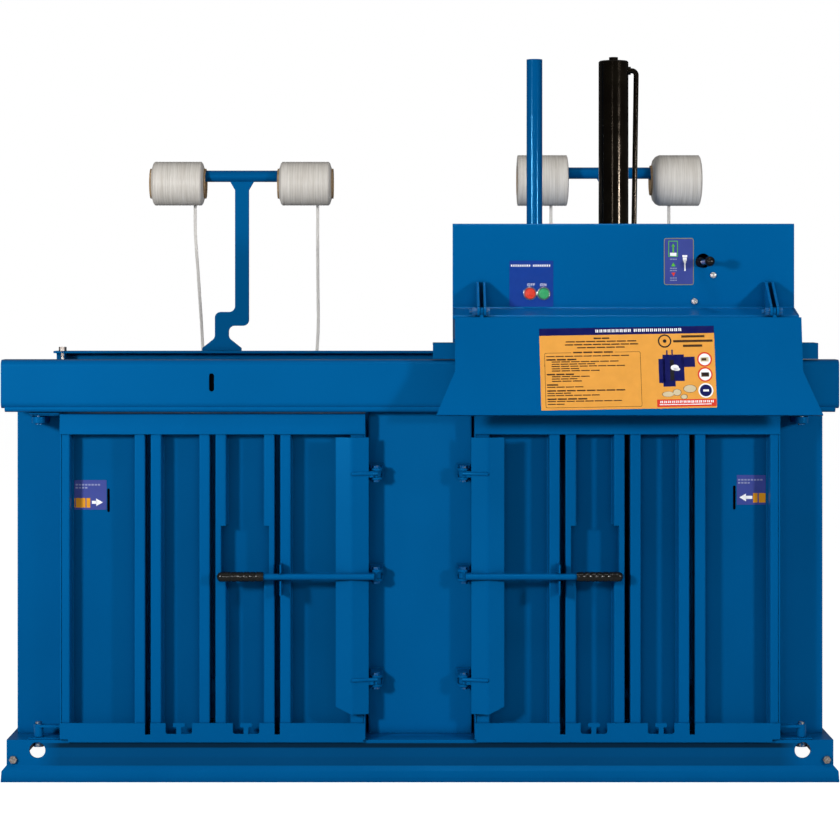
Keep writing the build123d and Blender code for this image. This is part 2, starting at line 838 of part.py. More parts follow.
def flap_bolts():
    axis_y = face_y + flap_axis_depth
    bolts = []
    for side in (-1, 1):
        x = panel_x + side * flap_hinge_spread
        half = flap_lug_gap / 2 + flap_lug_plate
        bolt = round_x(flap_bolt_radius, x - flap_bolt_length / 2, x + half, axis_y, flap_axis_z)
        for x0, x1 in ((x - half - flap_bolt_head, x - half), (x + half, x + half + flap_bolt_nut)):
            head = Pos(axis_y, flap_axis_z) * RegularPolygon(flap_bolt_radius * 1.7, 6)
            bolt += along_x(head, x0, x1)
        bolts.append(bolt)
    return Compound(children=bolts)


def head_rear_cover():
    x0 = housing_x - head_length / 2 + head_side_inset
    x1 = housing_x + head_length / 2 - head_side_inset
    back = 2 * mid_y - face_y
    cover = box(x0, x1, back - sheet, back, head_low_z, panel_high_z - sheet - rest_gap)
    for index in range(6):
        z = panel_high_z - 90 - index * 18
        louvre = Pos(panel_x + 200, z) * SlotOverall(160, 7)
        cover -= along_y(louvre, back - 10, back + 10)
    gland_x = x0 + 48
    cover += round_y(14, gland_x, back - 1, back + 18, head_low_z + 70)
    cover -= round_y(6, gland_x, back - 10, back + 20, head_low_z + 70)
    return cover


# Carriage: bars over both rails, arms to the rollers, cross tubes and the press beam
def carriage_bar(length):
    """Bar over the front rail with its lip in front of it and its arms to the rollers."""
    x0 = panel_x - length / 2
    x1 = panel_x + length / 2
    arm_front_y = rail_front_y + rail_depth + carriage_gap
    arm_back_y = arm_front_y + arm_plate
    lip_y = rail_front_y + carriage_gap + 1
    bar = box(x0, x1, lip_y, arm_back_y, carriage_top_z - frame_plate, carriage_top_z)
    bar += box(x0, x1, lip_y, lip_y + frame_plate, rail_top_z + carriage_gap, carriage_top_z)
    for side in (-1, 1):
        x = panel_x + side * axle_spread
        half = axle_arm_width / 2
        arm = box(x - half, x + half, arm_front_y, arm_back_y, axle_z, carriage_top_z)
        arm += box(x - half + 12, x + half - 12, arm_front_y, arm_back_y, axle_arm_low_z, axle_z)
        arm += round_y(half * 0.6, x, arm_front_y, arm_back_y, axle_z - 8)
        arm -= round_y(axle_radius, x, arm_front_y - 1, arm_back_y + 1, axle_z)
        bar += arm
    return bar


def carriage_frame():
    frame = carriage_bar(carriage_length) + mirror_mid(carriage_bar(carriage_rear_length))
    tube_low = carriage_top_z
    tube_high = tube_low + cross_tube
    half = cross_tube / 2
    for side in (-1, 1):
        x = panel_x + side * axle_spread
        y0 = face_y + sheet + 1
        y1 = 2 * mid_y - y0
        tube = box(x - half, x + half, y0, y1, tube_low, tube_high)
        hollow = half - sheet
        tube -= box(x - hollow, x + hollow, y0 - 1, y1 + 1, tube_low + sheet, tube_high - sheet)
        frame += tube
    inner = axle_spread - half
    beam = box(panel_x - inner, panel_x + inner, mid_y - press_beam_width / 2,
               mid_y + press_beam_width / 2, tube_low, tube_low + press_beam_height)
    wall = 10
    beam -= box(panel_x - inner - 1, panel_x + inner + 1, mid_y - press_beam_width / 2 + wall,
                mid_y + press_beam_width / 2 - wall, tube_low - 1,
                tube_low + press_beam_height - wall)
    for x, radius in ((chamber_x, barrel_radius + rest_gap),
                      (chamber_x - guide_offset, bush_radius + running_fit)):
        beam += round_z(radius + 8, x, mid_y, tube_low, tube_low + press_beam_height - 1)
        beam -= round_z(radius, x, mid_y, tube_low - 1, tube_low + press_beam_height + 1)
    return frame + beam


def track_roller():
    """Turned roller on the lower flange of the front rail, drawn at x = 0."""
    y0 = rail_front_y + rail_bend + 2
    y1 = y0 + roller_width
    roller = round_y(roller_radius, 0, y0, y1, axle_z)
    roller -= round_y(axle_radius + running_fit, 0, y0 - 1, y1 + 1, axle_z)
    roller -= round_y(roller_radius - 12, 0, y0 - 1, y0 + 5, axle_z) - round_y(
        axle_radius + 9, 0, y0 - 1, y0 + 5, axle_z)
    return roller


def roller_axles():
    y0 = rail_front_y + frame_plate + 2
    arm_back_y = rail_front_y + rail_depth + carriage_gap + arm_plate
    pins = []
    for side in (-1, 1):
        x = panel_x + side * axle_spread
        pin = round_y(axle_radius, x, y0, arm_back_y + 8, axle_z)
        pin += round_y(axle_radius + 6, x, y0, y0 + 5, axle_z)
        pin += round_y(axle_radius + 8, x, arm_back_y, arm_back_y + 8, axle_z)
        pins += [pin, mirror_mid(pin)]
    return Compound(children=pins)


# Cylinder, ram and guide over the middle of the chamber
def cylinder_barrel():
    flange_low = carriage_top_z + press_beam_height
    barrel = round_z(barrel_radius, chamber_x, mid_y, barrel_low_z, barrel_top_z)
    barrel = chamfer(barrel.edges().group_by(Axis.Z)[-1], 3)
    barrel += round_z(flange_radius, chamber_x, mid_y, flange_low, flange_low + flange_height)
    barrel += round_z(stub_radius, chamber_x, mid_y, barrel_top_z - 1, barrel_top_z + stub_height)
    barrel += round_x(11, chamber_x, chamber_x + barrel_radius + 6, mid_y, pipe_z)
    barrel -= round_z(barrel_bore_radius, chamber_x, mid_y, barrel_low_z + gland_height,
                      barrel_top_z - cap_height)
    return barrel - round_z(rod_radius + running_fit, chamber_x, mid_y, barrel_low_z - 1,
                            barrel_low_z + gland_height + 1)


def cylinder_pipe():
    flange_top = carriage_top_z + press_beam_height + flange_height
    start_x = chamber_x + barrel_radius + 6
    path = FilletPolyline((start_x, mid_y, pipe_z), (chamber_x + pipe_offset_top, mid_y, pipe_z),
                          (chamber_x + pipe_offset_low, mid_y, flange_top), radius=pipe_bend)
    start = Plane(origin=(start_x, mid_y, pipe_z), z_dir=(1, 0, 0))
    pipe = sweep(start * Circle(pipe_radius), path=path)
    return pipe - box(chamber_x, chamber_x + 99, mid_y - 20, mid_y + 20, flange_top - 9,
                      flange_top)


def guide_bush():
    low = carriage_top_z
    high = low + press_beam_height
    x = chamber_x - guide_offset
    bush = round_z(bush_radius, x, mid_y, low, high) + round_z(bush_radius + 14, x, mid_y, high,
                                                               high + 12)
    return bush - round_z(guide_radius + running_fit, x, mid_y, low - 1, high + 13)


def ram_rod():
    piston_high = barrel_top_z - cap_height - 4
    rod = round_z(rod_radius, chamber_x, mid_y, platen_top_z(), piston_high)
    rod += round_z(barrel_bore_radius - running_fit, chamber_x, mid_y,
                   piston_high - piston_height, piston_high)
    return rod + round_z(rod_radius + 16, chamber_x, mid_y, platen_top_z(), platen_top_z() + 14)


def guide_tube():
    x = chamber_x - guide_offset
    tube = round_z(guide_radius, x, mid_y, platen_top_z(), guide_top_z)
    bore = round_z(guide_radius - guide_wall, x, mid_y, platen_top_z() - 1,
                   guide_top_z - guide_wall)
    return tube - bore


def platen_top_z():
    return platen_low_z + platen_height


def platen():
    """Press plate: bottom plate, rim, cross ribs and solid bosses under rod and guide."""
    x0 = chamber_x - platen_width / 2
    x1 = chamber_x + platen_width / 2
    y0 = mid_y - platen_length / 2
    y1 = mid_y + platen_length / 2
    rib_high = platen_top_z() - 20
    plate = box(x0, x1, y0, y1, platen_low_z, rib_high)
    wall = platen_plate
    pocket_x = (platen_width - 5 * wall) / 4
    pocket_y = (platen_length - 4 * wall) / 3
    for column in range(4):
        for row in range(3):
            px = x0 + wall + column * (pocket_x + wall)
            py = y0 + wall + row * (pocket_y + wall)
            plate -= box(px, px + pocket_x, py, py + pocket_y, platen_low_z + wall, rib_high + 1)
    boss_low = platen_low_z + wall - 1
    plate += round_z(rod_radius + 20, chamber_x, mid_y, boss_low, platen_top_z())
    return plate + round_z(guide_radius + 9, chamber_x - guide_offset, mid_y, boss_low,
                           platen_top_z())


# Flap: folded tray that leans out to the front and widens at its lower edge
def flap():
    height = flap_top_z - flap_low_z
    slope = Vector(0, flap_kick, height).normalized()
    face = Plane(origin=(panel_x, face_y - front_reach, flap_low_z), x_dir=(1, 0, 0),
                 z_dir=(0, -slope.Z, slope.Y))
    length = Vector(0, flap_kick, height).length
    knee = length * (flap_knee_z - flap_low_z) / height
    mouth = flap_mouth_width / 2
    top = flap_width / 2
    outline = Polygon((-mouth, 0), (mouth, 0), (top, knee), (top, length), (-top, length),
                      (-top, knee), align=None)
    hollow = offset(outline, amount=-flap_sheet, kind=Kind.INTERSECTION)
    body = extrude(face * outline, amount=flap_return, dir=-face.z_dir)
    body -= extrude(face.offset(-flap_sheet) * hollow, amount=flap_return, dir=-face.z_dir)
    axis_y = face_y + flap_axis_depth
    lug_radius = flap_lug_radius - swing_gap
    lugs = []
    for side in (-1, 1):
        x = panel_x + side * flap_hinge_spread
        half = flap_lug_gap / 2 - rest_gap
        lug = box(x - half, x + half, face_y - flap_stand_off + 1, axis_y + lug_radius - 3,
                  flap_top_z - 10, flap_axis_z)
        lug += round_x(lug_radius, x - half, x + half, axis_y, flap_axis_z)
        lug -= round_x(flap_bolt_radius + running_fit, x - 30, x + 30, axis_y, flap_axis_z)
        lugs.append(lug)
    return body + lugs


# Controls on the head's panel
def button_bezels():
    bezels = []
    for x in (off_button_x, on_button_x):
        ring = round_y(bezel_radius, x, face_y - bezel_height, face_y, button_z)
        ring += round_y(button_radius + 2.5, x, face_y, face_y + 14, button_z)
        ring -= round_y(button_radius + running_fit, x, face_y - 9, face_y + 15, button_z)
        bezels.append(ring)
    return Compound(children=bezels)


def push_button(x):
    cap = round_y(button_radius, x, face_y - button_height, face_y + 12, button_z)
    return chamfer(cap.edges().group_by(Axis.Y)[0], 1.0)


def valve_collar():
    ring = round_y(valve_ball_radius + 7, valve_x, face_y - 8, face_y, valve_z)
    seat = Pos(valve_x, face_y - 4, valve_z) * Sphere(valve_ball_radius + rest_gap)
    return ring - seat - round_y(valve_ball_radius - 3, valve_x, face_y - 9, face_y + 1, valve_z)


def valve_lever():
    """Ball boot, tapered neck, rod and knob, turned about the lever's own line."""
    ball = Sphere(valve_ball_radius)
    neck = Pos(0, 0, 22) * Cone(11, 6, 24)
    rod = Pos(0, 0, 38) * Cylinder(4, 24)
    knob = Pos(0, 0, valve_lever_length) * Sphere(valve_knob_radius)
    shape = ball + neck + rod + knob
    shape -= Pos(0, 0, -valve_ball_radius) * Box(60, 60, 2 * (valve_ball_radius - 5))
    return Pos(valve_x, face_y - 4, valve_z) * Rot(90, 0, 0) * shape


def pump_motor():
    """Motor on its foot, with a fan cover at its right end and a terminal box on top."""
    z = carriage_top_z + cross_tube
    y = face_y + motor_depth
    axis_z = z + motor_centre_rise
    x0 = motor_x - motor_length / 2
    x1 = motor_x + motor_length / 2
    motor = round_x(motor_radius, x0, x1, y, axis_z)
    motor += round_x(motor_radius * 0.83, x1 - 1, x1 + motor_fan_length, y, axis_z)
    motor += box(motor_x - motor_foot_length / 2, motor_x + motor_foot_length / 2,
                 y - motor_foot_width / 2, y + motor_foot_width / 2, z, axis_z - motor_radius * 0.7)
    half = terminal_box_length / 2
    return motor + box(motor_x - half, motor_x + half, y - half, y + half,
                       axis_z + motor_radius * 0.75, axis_z + terminal_box_rise)


def oil_tank():
    z = carriage_top_z + cross_tube
    y0 = face_y + tank_depth
    tank = box(tank_low_x, tank_low_x + tank_length, y0, y0 + tank_width, z, z + tank_height)
    tank = fillet(tank.edges().filter_by(Axis.Z), tank_corner)
    return tank + round_z(tank_cap_radius, tank_low_x + 3 * tank_corner, y0 + 3 * tank_corner,
                          z + tank_height, z + tank_height + tank_cap_height)


def pack_shelf():
    """Shelf bars on the cross tubes under the tank and the motor."""
    z = carriage_top_z + cross_tube
    half = shelf_bar_width / 2
    x0 = panel_x - axle_spread + cross_tube / 2
    x1 = panel_x + axle_spread - cross_tube / 2
    shelf = []
    for depth in shelf_bar_depths:
        y = face_y + depth
        shelf.append(box(x0, x1, y - half, y + half, z - shelf_bar_height, z))
    return Compound(children=shelf)


# Spool posts, spools and straps
def spool_post(x, spool_z):
    """Flat plate with an S-shaped foot, bolted behind the rear rail, and a round cross arm."""
    y0 = rail_back_y
    half = post_width / 2
    neck_x = x - post_foot_shift
    foot_half = post_foot_width / 2
    bend_low = rail_top_z + post_bend_rise
    bend_high = bend_low + post_width
    flare_z = rail_top_z + 36
    arm_z = spool_z + core_bore_radius - rest_gap - arm_radius
    points = [
        (neck_x - foot_half, rail_top_z - post_foot_drop),
        (neck_x + foot_half, rail_top_z - post_foot_drop),
        (neck_x + foot_half, rail_top_z + 7),
        (neck_x + half, flare_z),
        (neck_x + half, bend_low),
        (x + half, bend_low),
        (x + half, arm_z - 40),
        (x + half + 16, arm_z - 12),
        (x - half - 16, arm_z - 12),
        (x - half, arm_z - 40),
        (x - half, bend_high),
        (neck_x - half, bend_high),
        (neck_x - half, flare_z),
        (neck_x - foot_half, rail_top_z + 7),
    ]
    plate = make_face(Polyline(*points, close=True))
    soft = [v for v in plate.vertices() if flare_z - 1 < v.Y < bend_high + 1]
    plate = fillet(soft, post_bend_radius)
    post = along_y(plate, y0, y0 + post_plate)
    reach = spool_spread + small_winding_width / 2 - 8
    return post + round_x(arm_radius, x - reach, x + reach, spool_y, arm_z)


def spool_core(x, spool_z, width):
    half = width / 2 + core_overhang
    core = round_x(core_bore_radius + core_wall, x - half, x + half, spool_y, spool_z)
    return core - round_x(core_bore_radius, x - half - 1, x + half + 1, spool_y, spool_z)


def spool_winding(x, spool_z, width, radius):
    """Wound strap with tapered ends, on its core."""
    half = width / 2
    inner = core_bore_radius + core_wall
    section = Polygon((-half, inner), (-half, radius - winding_chamfer),
                      (-half + winding_chamfer * 0.6, radius),
                      (half - winding_chamfer * 0.6, radius), (half, radius - winding_chamfer),
                      (half, inner), align=None)
    return Pos(x, spool_y, spool_z) * revolve(section, Axis.X)


def strap(name, top_x, rail_x, entry_x, spool_z, radius):
    """Strap that hangs behind its spool and the rear rail and turns into its chute."""
    y = spool_y + radius + rest_gap + strap_width / 2
    entry_z = base_top_z + sheet + chute_opening / 2
    chute_y = rear_wall_y + chute_length - 15
    points = [
        (top_x, y, spool_z),
        (rail_x, y, rail_top_z),
        (rail_x + (entry_x - rail_x) * 0.3, y - 4, rail_top_z - 260),
        (entry_x, y - 4, entry_z + 150),
        (entry_x, y - 14, entry_z + 90),
        (entry_x, y - 38, entry_z + 38),
        (entry_x, y - 74, entry_z + 8),
        (entry_x, chute_y, entry_z),
        (entry_x, chute_y - 30, entry_z),
    ]
    points = [Vector(*point) for point in points]
    radii = []
    for before, corner, after in zip(points, points[1:], points[2:]):
        first = corner - before
        second = after - corner
        half_turn = radians(first.get_angle(second)) / 2
        radii.append(0.45 * min(first.length, second.length) / tan(half_turn))
    print(name, "bend radii", [round(radius_mm) for radius_mm in radii])
    path = FilletPolyline(*points, radius=radii)
    start = Plane(origin=points[0], z_dir=points[1] - points[0])
    return sweep(start * Circle(strap_width / 2), path=path)


spools = {
    "far_left": (left_post_x - spool_spread, left_spool_z, small_winding_width,
                 small_winding_radius),
    "near_left": (left_post_x + spool_spread, left_spool_z, small_winding_width,
                  small_winding_radius),
    "near_right": (right_post_x - spool_spread - 8, right_spool_z, large_winding_width,
                   large_winding_radius),
    "far_right": (right_post_x + spool_spread + 8, right_spool_z, large_winding_width,
                  large_winding_radius),
}
straps = {
    "strap_far_left": (-644.0, -621.0, -chamber_x - channel_spread, left_spool_z,
                       small_winding_radius),
    "strap_near_left": (-295.0, -296.0, -chamber_x + channel_spread, left_spool_z,
                        small_winding_radius),
    "strap_near_right": (381.0, 382.0, chamber_x - channel_spread, right_spool_z,
                         large_winding_radius),
    "strap_far_right": (724.0, 723.0, chamber_x + channel_spread, right_spool_z,
                        large_winding_radius),
}

save(base_frame(), "base_frame")
save(base_bolts(), "base_bolts")
save(Compound(children=[chamber_floor(chamber_x), mirror_x(chamber_floor(chamber_x))]),
     "chamber_floors")
save(side_wall(-1), "left_side_wall")
save(side_wall(1), "right_side_wall")
save(centre_post(), "centre_post")
save(rear_wall(), "rear_wall")
save(front_rail(), "front_rail")
save(rear_rail(), "rear_rail")
save(hinge_brackets(), "hinge_brackets")
save(hinge_pins(), "hinge_pins")
save(lock_brackets(), "lock_brackets")
save(lock_bolts(), "lock_bolts")
save(spool_post(left_post_x, left_spool_z), "left_spool_post")
save(spool_post(right_post_x, right_spool_z), "right_spool_post")

right_door = {"door_frame": door_frame(), "door_skin": door_skin()}
right_lock = {"lock_plate": lock_plate(), "lever_grip": lever_grip()}
for name, shape in {**right_door, **right_lock}.items():
    save(shape, f"right_{name}")
    save(mirror_x(shape), f"left_{name}")

save(head_housing(), "head_housing")
save(head_rear_cover(), "head_rear_cover")
save(carriage_frame(), "carriage_frame")
save(roller_axles(), "roller_axles")
for name, x in (("left", panel_x - axle_spread), ("right", panel_x + axle_spread)):
    save(Pos(x, 0, 0) * track_roller(), f"front_{name}_roller")
    save(Pos(x, 0, 0) * mirror_mid(track_roller()), f"rear_{name}_roller")
save(flap_bolts(), "flap_bolts")
save(flap(), "flap")
save(cylinder_barrel(), "cylinder_barrel")
save(cylinder_pipe(), "cylinder_pipe")
save(guide_bush(), "guide_bush")
save(ram_rod(), "ram_rod")
save(guide_tube(), "guide_tube")
save(platen(), "platen")
save(button_bezels(), "button_bezels")
save(push_button(off_button_x), "off_button")
save(push_button(on_button_x), "on_button")
save(valve_collar(), "valve_collar")
save(valve_lever(), "valve_lever")
save(pump_motor(), "pump_motor")
save(oil_tank(), "oil_tank")
save(pack_shelf(), "pack_shelf")
for name, (x, z, width, radius) in spools.items():
    save(spool_core(x, z, width), f"{name}_core")
    save(spool_winding(x, z, width, radius), f"{name}_winding")
for name, (top_x, rail_x, entry_x, z, radius) in straps.items():
    save(strap(name, top_x, rail_x, entry_x, z, radius), name)
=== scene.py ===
import bpy
import json
from math import cos, pi, radians, sin
from mathutils import Matrix, Vector


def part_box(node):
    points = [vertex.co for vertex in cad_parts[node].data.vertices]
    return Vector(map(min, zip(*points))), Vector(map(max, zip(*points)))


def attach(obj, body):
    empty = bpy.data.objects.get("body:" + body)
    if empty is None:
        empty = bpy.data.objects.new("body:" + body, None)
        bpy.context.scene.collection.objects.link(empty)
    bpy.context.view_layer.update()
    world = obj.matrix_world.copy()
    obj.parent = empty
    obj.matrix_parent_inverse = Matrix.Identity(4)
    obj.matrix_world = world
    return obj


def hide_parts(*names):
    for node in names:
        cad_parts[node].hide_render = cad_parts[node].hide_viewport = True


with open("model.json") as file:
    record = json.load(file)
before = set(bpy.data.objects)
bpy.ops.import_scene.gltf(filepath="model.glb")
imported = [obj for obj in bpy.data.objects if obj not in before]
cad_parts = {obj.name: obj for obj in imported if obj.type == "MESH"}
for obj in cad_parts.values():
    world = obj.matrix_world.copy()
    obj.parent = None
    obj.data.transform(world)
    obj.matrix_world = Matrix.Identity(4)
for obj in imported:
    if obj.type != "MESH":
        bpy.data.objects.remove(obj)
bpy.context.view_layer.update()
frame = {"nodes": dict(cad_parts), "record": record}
nodes = frame["nodes"]
slot_of = {part["node"]: part["material_slot"] for part in frame["record"]["subparts"]}

# The picture is taken straight from the front, six metres before the doors, at the height of
# the push buttons. The lens is shifted down, so that upright edges stay upright.
face_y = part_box("left_door_frame")[0].y
camera_distance = 6.0
camera_height = 1.23
lens_mm = 102.857
sensor_mm = 36
picture_size = 840
horizon_pixel = 290
camera_data = bpy.data.cameras.new("front_camera")
camera_data.lens = lens_mm
camera_data.sensor_width = sensor_mm
camera_data.shift_y = (horizon_pixel - picture_size / 2) / picture_size
camera = bpy.data.objects.new("front_camera", camera_data)
camera.location = (0, face_y - camera_distance, camera_height)
camera.rotation_euler = (radians(90), 0, 0)
bpy.context.scene.collection.objects.link(camera)
bpy.context.scene.camera = camera
bpy.context.scene.view_settings.view_transform = "Standard"

# The floor is a pale even sheet of card, seen almost edge on. It is white to the eye and still
# takes the soft shadow of the base. Mirror images show it dim.
floor_half = 30.0
floor_grey = 0.40
glow_to_eye = 0.97
glow_in_mirror = 0.12


def link(tree, source, target):
    tree.links.new(source, target)


def combine(tree, operation, *values):
    """A math node on the values, which are numbers or sockets. Returns its output."""
    node = tree.nodes.new("ShaderNodeMath")
    node.operation = operation
    for socket, value in zip(node.inputs, values):
        if isinstance(value, float):
            socket.default_value = value
        else:
            link(tree, value, socket)
    return node.outputs[0]


def light_path_any(tree, names):
    """1 for the kinds of ray named, 0 for the rest."""
    path = tree.nodes.new("ShaderNodeLightPath")
    total = path.outputs[names[0]]
    for name in names[1:]:
        total = combine(tree, "MAXIMUM", total, path.outputs[name])
    return total


bpy.ops.object.select_all(action="DESELECT")
bpy.ops.mesh.primitive_plane_add(size=2 * floor_half, location=(0, 0, 0))
floor = bpy.context.object
floor.name = "floor_card"
floor_paint = bpy.data.materials.new("pale_card")
floor_paint.use_nodes = True
tree = floor_paint.node_tree
shader = tree.nodes["Principled BSDF"]
shader.inputs["Base Color"].default_value = (floor_grey, floor_grey, floor_grey, 1)
shader.inputs["Roughness"].default_value = 0.9
shader.inputs["Specular IOR Level"].default_value = 0.0
glow = tree.nodes.new("ShaderNodeEmission")
glow.inputs["Color"].default_value = (1, 1, 1, 1)
seen = light_path_any(tree, ["Is Camera Ray", "Is Transmission Ray"])
mirrored = light_path_any(tree, ["Is Glossy Ray"])
glow_seen = combine(tree, "MULTIPLY", seen, glow_to_eye)
link(tree, combine(tree, "MULTIPLY_ADD", mirrored, glow_in_mirror, glow_seen), glow.inputs["Strength"])
both = tree.nodes.new("ShaderNodeAddShader")
link(tree, shader.outputs["BSDF"], both.inputs[0])
link(tree, glow.outputs["Emission"], both.inputs[1])
link(tree, both.outputs["Shader"], tree.nodes["Material Output"].inputs["Surface"])
floor.data.materials.append(floor_paint)

# The room is dim and even for the light it gives, white to the eye, and brighter overhead in
# mirror images.
room_level = 0.06
mirror_low = 0.08
mirror_high = 0.28


def spread(tree, value, low, high, low_in=0.3, high_in=0.7):
    """The value carried from one range to another."""
    node = tree.nodes.new("ShaderNodeMapRange")
    node.inputs["From Min"].default_value = low_in
    node.inputs["From Max"].default_value = high_in
    node.inputs["To Min"].default_value = low
    node.inputs["To Max"].default_value = high
    link(tree, value, node.inputs["Value"])
    return node.outputs["Result"]


world = bpy.data.worlds.new("pale_room")
bpy.context.scene.world = world
world.use_nodes = True
tree = world.node_tree
background = tree.nodes["Background"]
background.inputs["Color"].default_value = (1, 1, 1, 1)
heading = tree.nodes.new("ShaderNodeSeparateXYZ")
link(tree, tree.nodes.new("ShaderNodeTexCoord").outputs["Generated"], heading.inputs["Vector"])
reflected = tree.nodes.new("ShaderNodeMix")
reflected.data_type = "FLOAT"
reflected.inputs["A"].default_value = room_level
link(tree, spread(tree, heading.outputs["Z"], mirror_low, mirror_high, 0.15, 0.75), reflected.inputs["B"])
link(tree, light_path_any(tree, ["Is Glossy Ray"]), reflected.inputs["Factor"])
level = tree.nodes.new("ShaderNodeMix")
level.data_type = "FLOAT"
link(tree, reflected.outputs["Result"], level.inputs["A"])
level.inputs["B"].default_value = 1.0
link(tree, light_path_any(tree, ["Is Camera Ray", "Is Transmission Ray"]), level.inputs["Factor"])
link(tree, level.outputs["Result"], background.inputs["Strength"])

# The lamps are a soft one low on the left, a smaller one close on the right, a weak one above,
# and a tall narrow one whose image runs down the round tubes. One is for the head's ledge and
# two are for the post between the doors.
def soft_lamp(name, place, aim, width, height, watts):
    """An area lamp at a place, turned to face a point."""
    data = bpy.data.lights.new(name, "AREA")
    data.shape = "RECTANGLE"
    data.size = width
    data.size_y = height
    data.energy = watts
    lamp = bpy.data.objects.new(name, data)
    lamp.location = place
    lamp.rotation_euler = (Vector(aim) - Vector(place)).to_track_quat("-Z", "Y").to_euler()
    bpy.context.scene.collection.objects.link(lamp)
    return lamp


key_lamp = soft_lamp("key_lamp", (-2.9, -3.7, 1.72), (0, face_y, 0.9), 0.5, 0.5, 140)
side_lamp = soft_lamp("side_lamp", (3.0, -3.0, 1.55), (0.4, face_y, 0.9), 0.35, 0.35, 65)
soft_lamp("top_lamp", (0.3, -1.9, 3.6), (0.3, face_y, 1.0), 0.5, 0.5, 12)
ledge_lamp = soft_lamp("ledge_lamp", (0.45, -0.74, 3.9), (0.45, face_y - 0.06, 1.2), 0.5, 0.5, 22)
soft_lamp("middle_strip", (-0.9, -6.2, 1.55), (0.4, 0, 1.3), 0.12, 1.0, 18)
post_left = soft_lamp("post_left", (-1.5, -4.5, 1.4), (0, face_y, 0.8), 0.25, 0.25, 114)
post_right = soft_lamp("post_right", (1.9, -4.2, 1.4), (0, face_y, 0.8), 0.25, 0.25, 42)

# Flags keep the left lamp off the black cylinder and both outer lamps off the post between the
# doors. The post lamps and the ledge lamp reach nothing but the piece that they are for.
flags = (("off_key", (key_lamp,), "EXCLUDE", ("centre_post", "cylinder_barrel", "cylinder_pipe")),
         ("off_side", (side_lamp,), "EXCLUDE", ("centre_post",)),
         ("on_post", (post_left, post_right), "INCLUDE", ("centre_post",)),
         ("on_head", (ledge_lamp,), "INCLUDE", ("head_housing",)))
for name, lamps, state, lit_nodes in flags:
    flag = bpy.data.collections.new(name)
    for lit_node in lit_nodes:
        flag.objects.link(nodes[lit_node])
    for entry in flag.collection_objects:
        entry.light_linking.link_state = state
    for lamp in lamps:
        lamp.light_linking.receiver_collection = flag

# Four bale straps hang from the spools behind the machine. Each is a flat woven band of white
# yarn, held by its roll above and by the hook of its chute below, and it hangs under its weight.
strap_width = 0.009
strap_thickness = 0.0010
left_pair_y = 0.5583
right_pair_y = 0.5683
rail_pass_z = 1.056
hook_y = 0.4185
hook_z = 0.122
# For each strap its x at the roll, at the rail and at the chute, then the y and z of the roll's end.
strap_ends = {
    "far_left": (-0.6505, -0.630, -0.603, left_pair_y, 1.536),
    "near_left": (-0.2973, -0.294, -0.435, left_pair_y, 1.536),
    "near_right": (0.381, 0.382, 0.435, right_pair_y, 1.545),
    "far_right": (0.724, 0.723, 0.603, right_pair_y, 1.545),
}


def strap_route(top_x, rail_x, entry_x, y, spool_z):
    """The points that the strap is led through, from its roll down to the chute."""
    lean = 0.3
    drift = -0.006 if top_x < -0.5 else 0.0
    return [
        (top_x, y, spool_z),
        (top_x + drift, y, spool_z - 0.10),
        (top_x - drift, y, spool_z - 0.26),
        (rail_x, y, rail_pass_z),
        (rail_x + (entry_x - rail_x) * lean, y - 0.004, 0.796),
        (entry_x, y - 0.004, 0.272),
        (entry_x, y - 0.014, 0.212),
        (entry_x, y - 0.038, 0.160),
        (entry_x, y - 0.074, 0.130),
        (entry_x, hook_y + 0.030, hook_z),
        (entry_x, hook_y, hook_z),
    ]


def smooth_line(name, route):
    """The points of the smooth curve that the route controls."""
    curve = bpy.data.curves.new(name, "CURVE")
    curve.dimensions = "3D"
    spline = curve.splines.new("NURBS")
    spline.points.add(len(route) - 1)
    for point, place in zip(spline.points, route):
        point.co = (*place, 1)
    spline.order_u = 3
    spline.use_endpoint_u = True
    spline.resolution_u = 12
    guide = bpy.data.objects.new(name, curve)
    bpy.context.scene.collection.objects.link(guide)
    bpy.context.view_layer.update()
    line = bpy.data.meshes.new_from_object(guide.evaluated_get(bpy.context.evaluated_depsgraph_get()))
    points = [vertex.co.copy() for vertex in line.vertices]
    bpy.data.objects.remove(guide)
    bpy.data.meshes.remove(line)
    return points


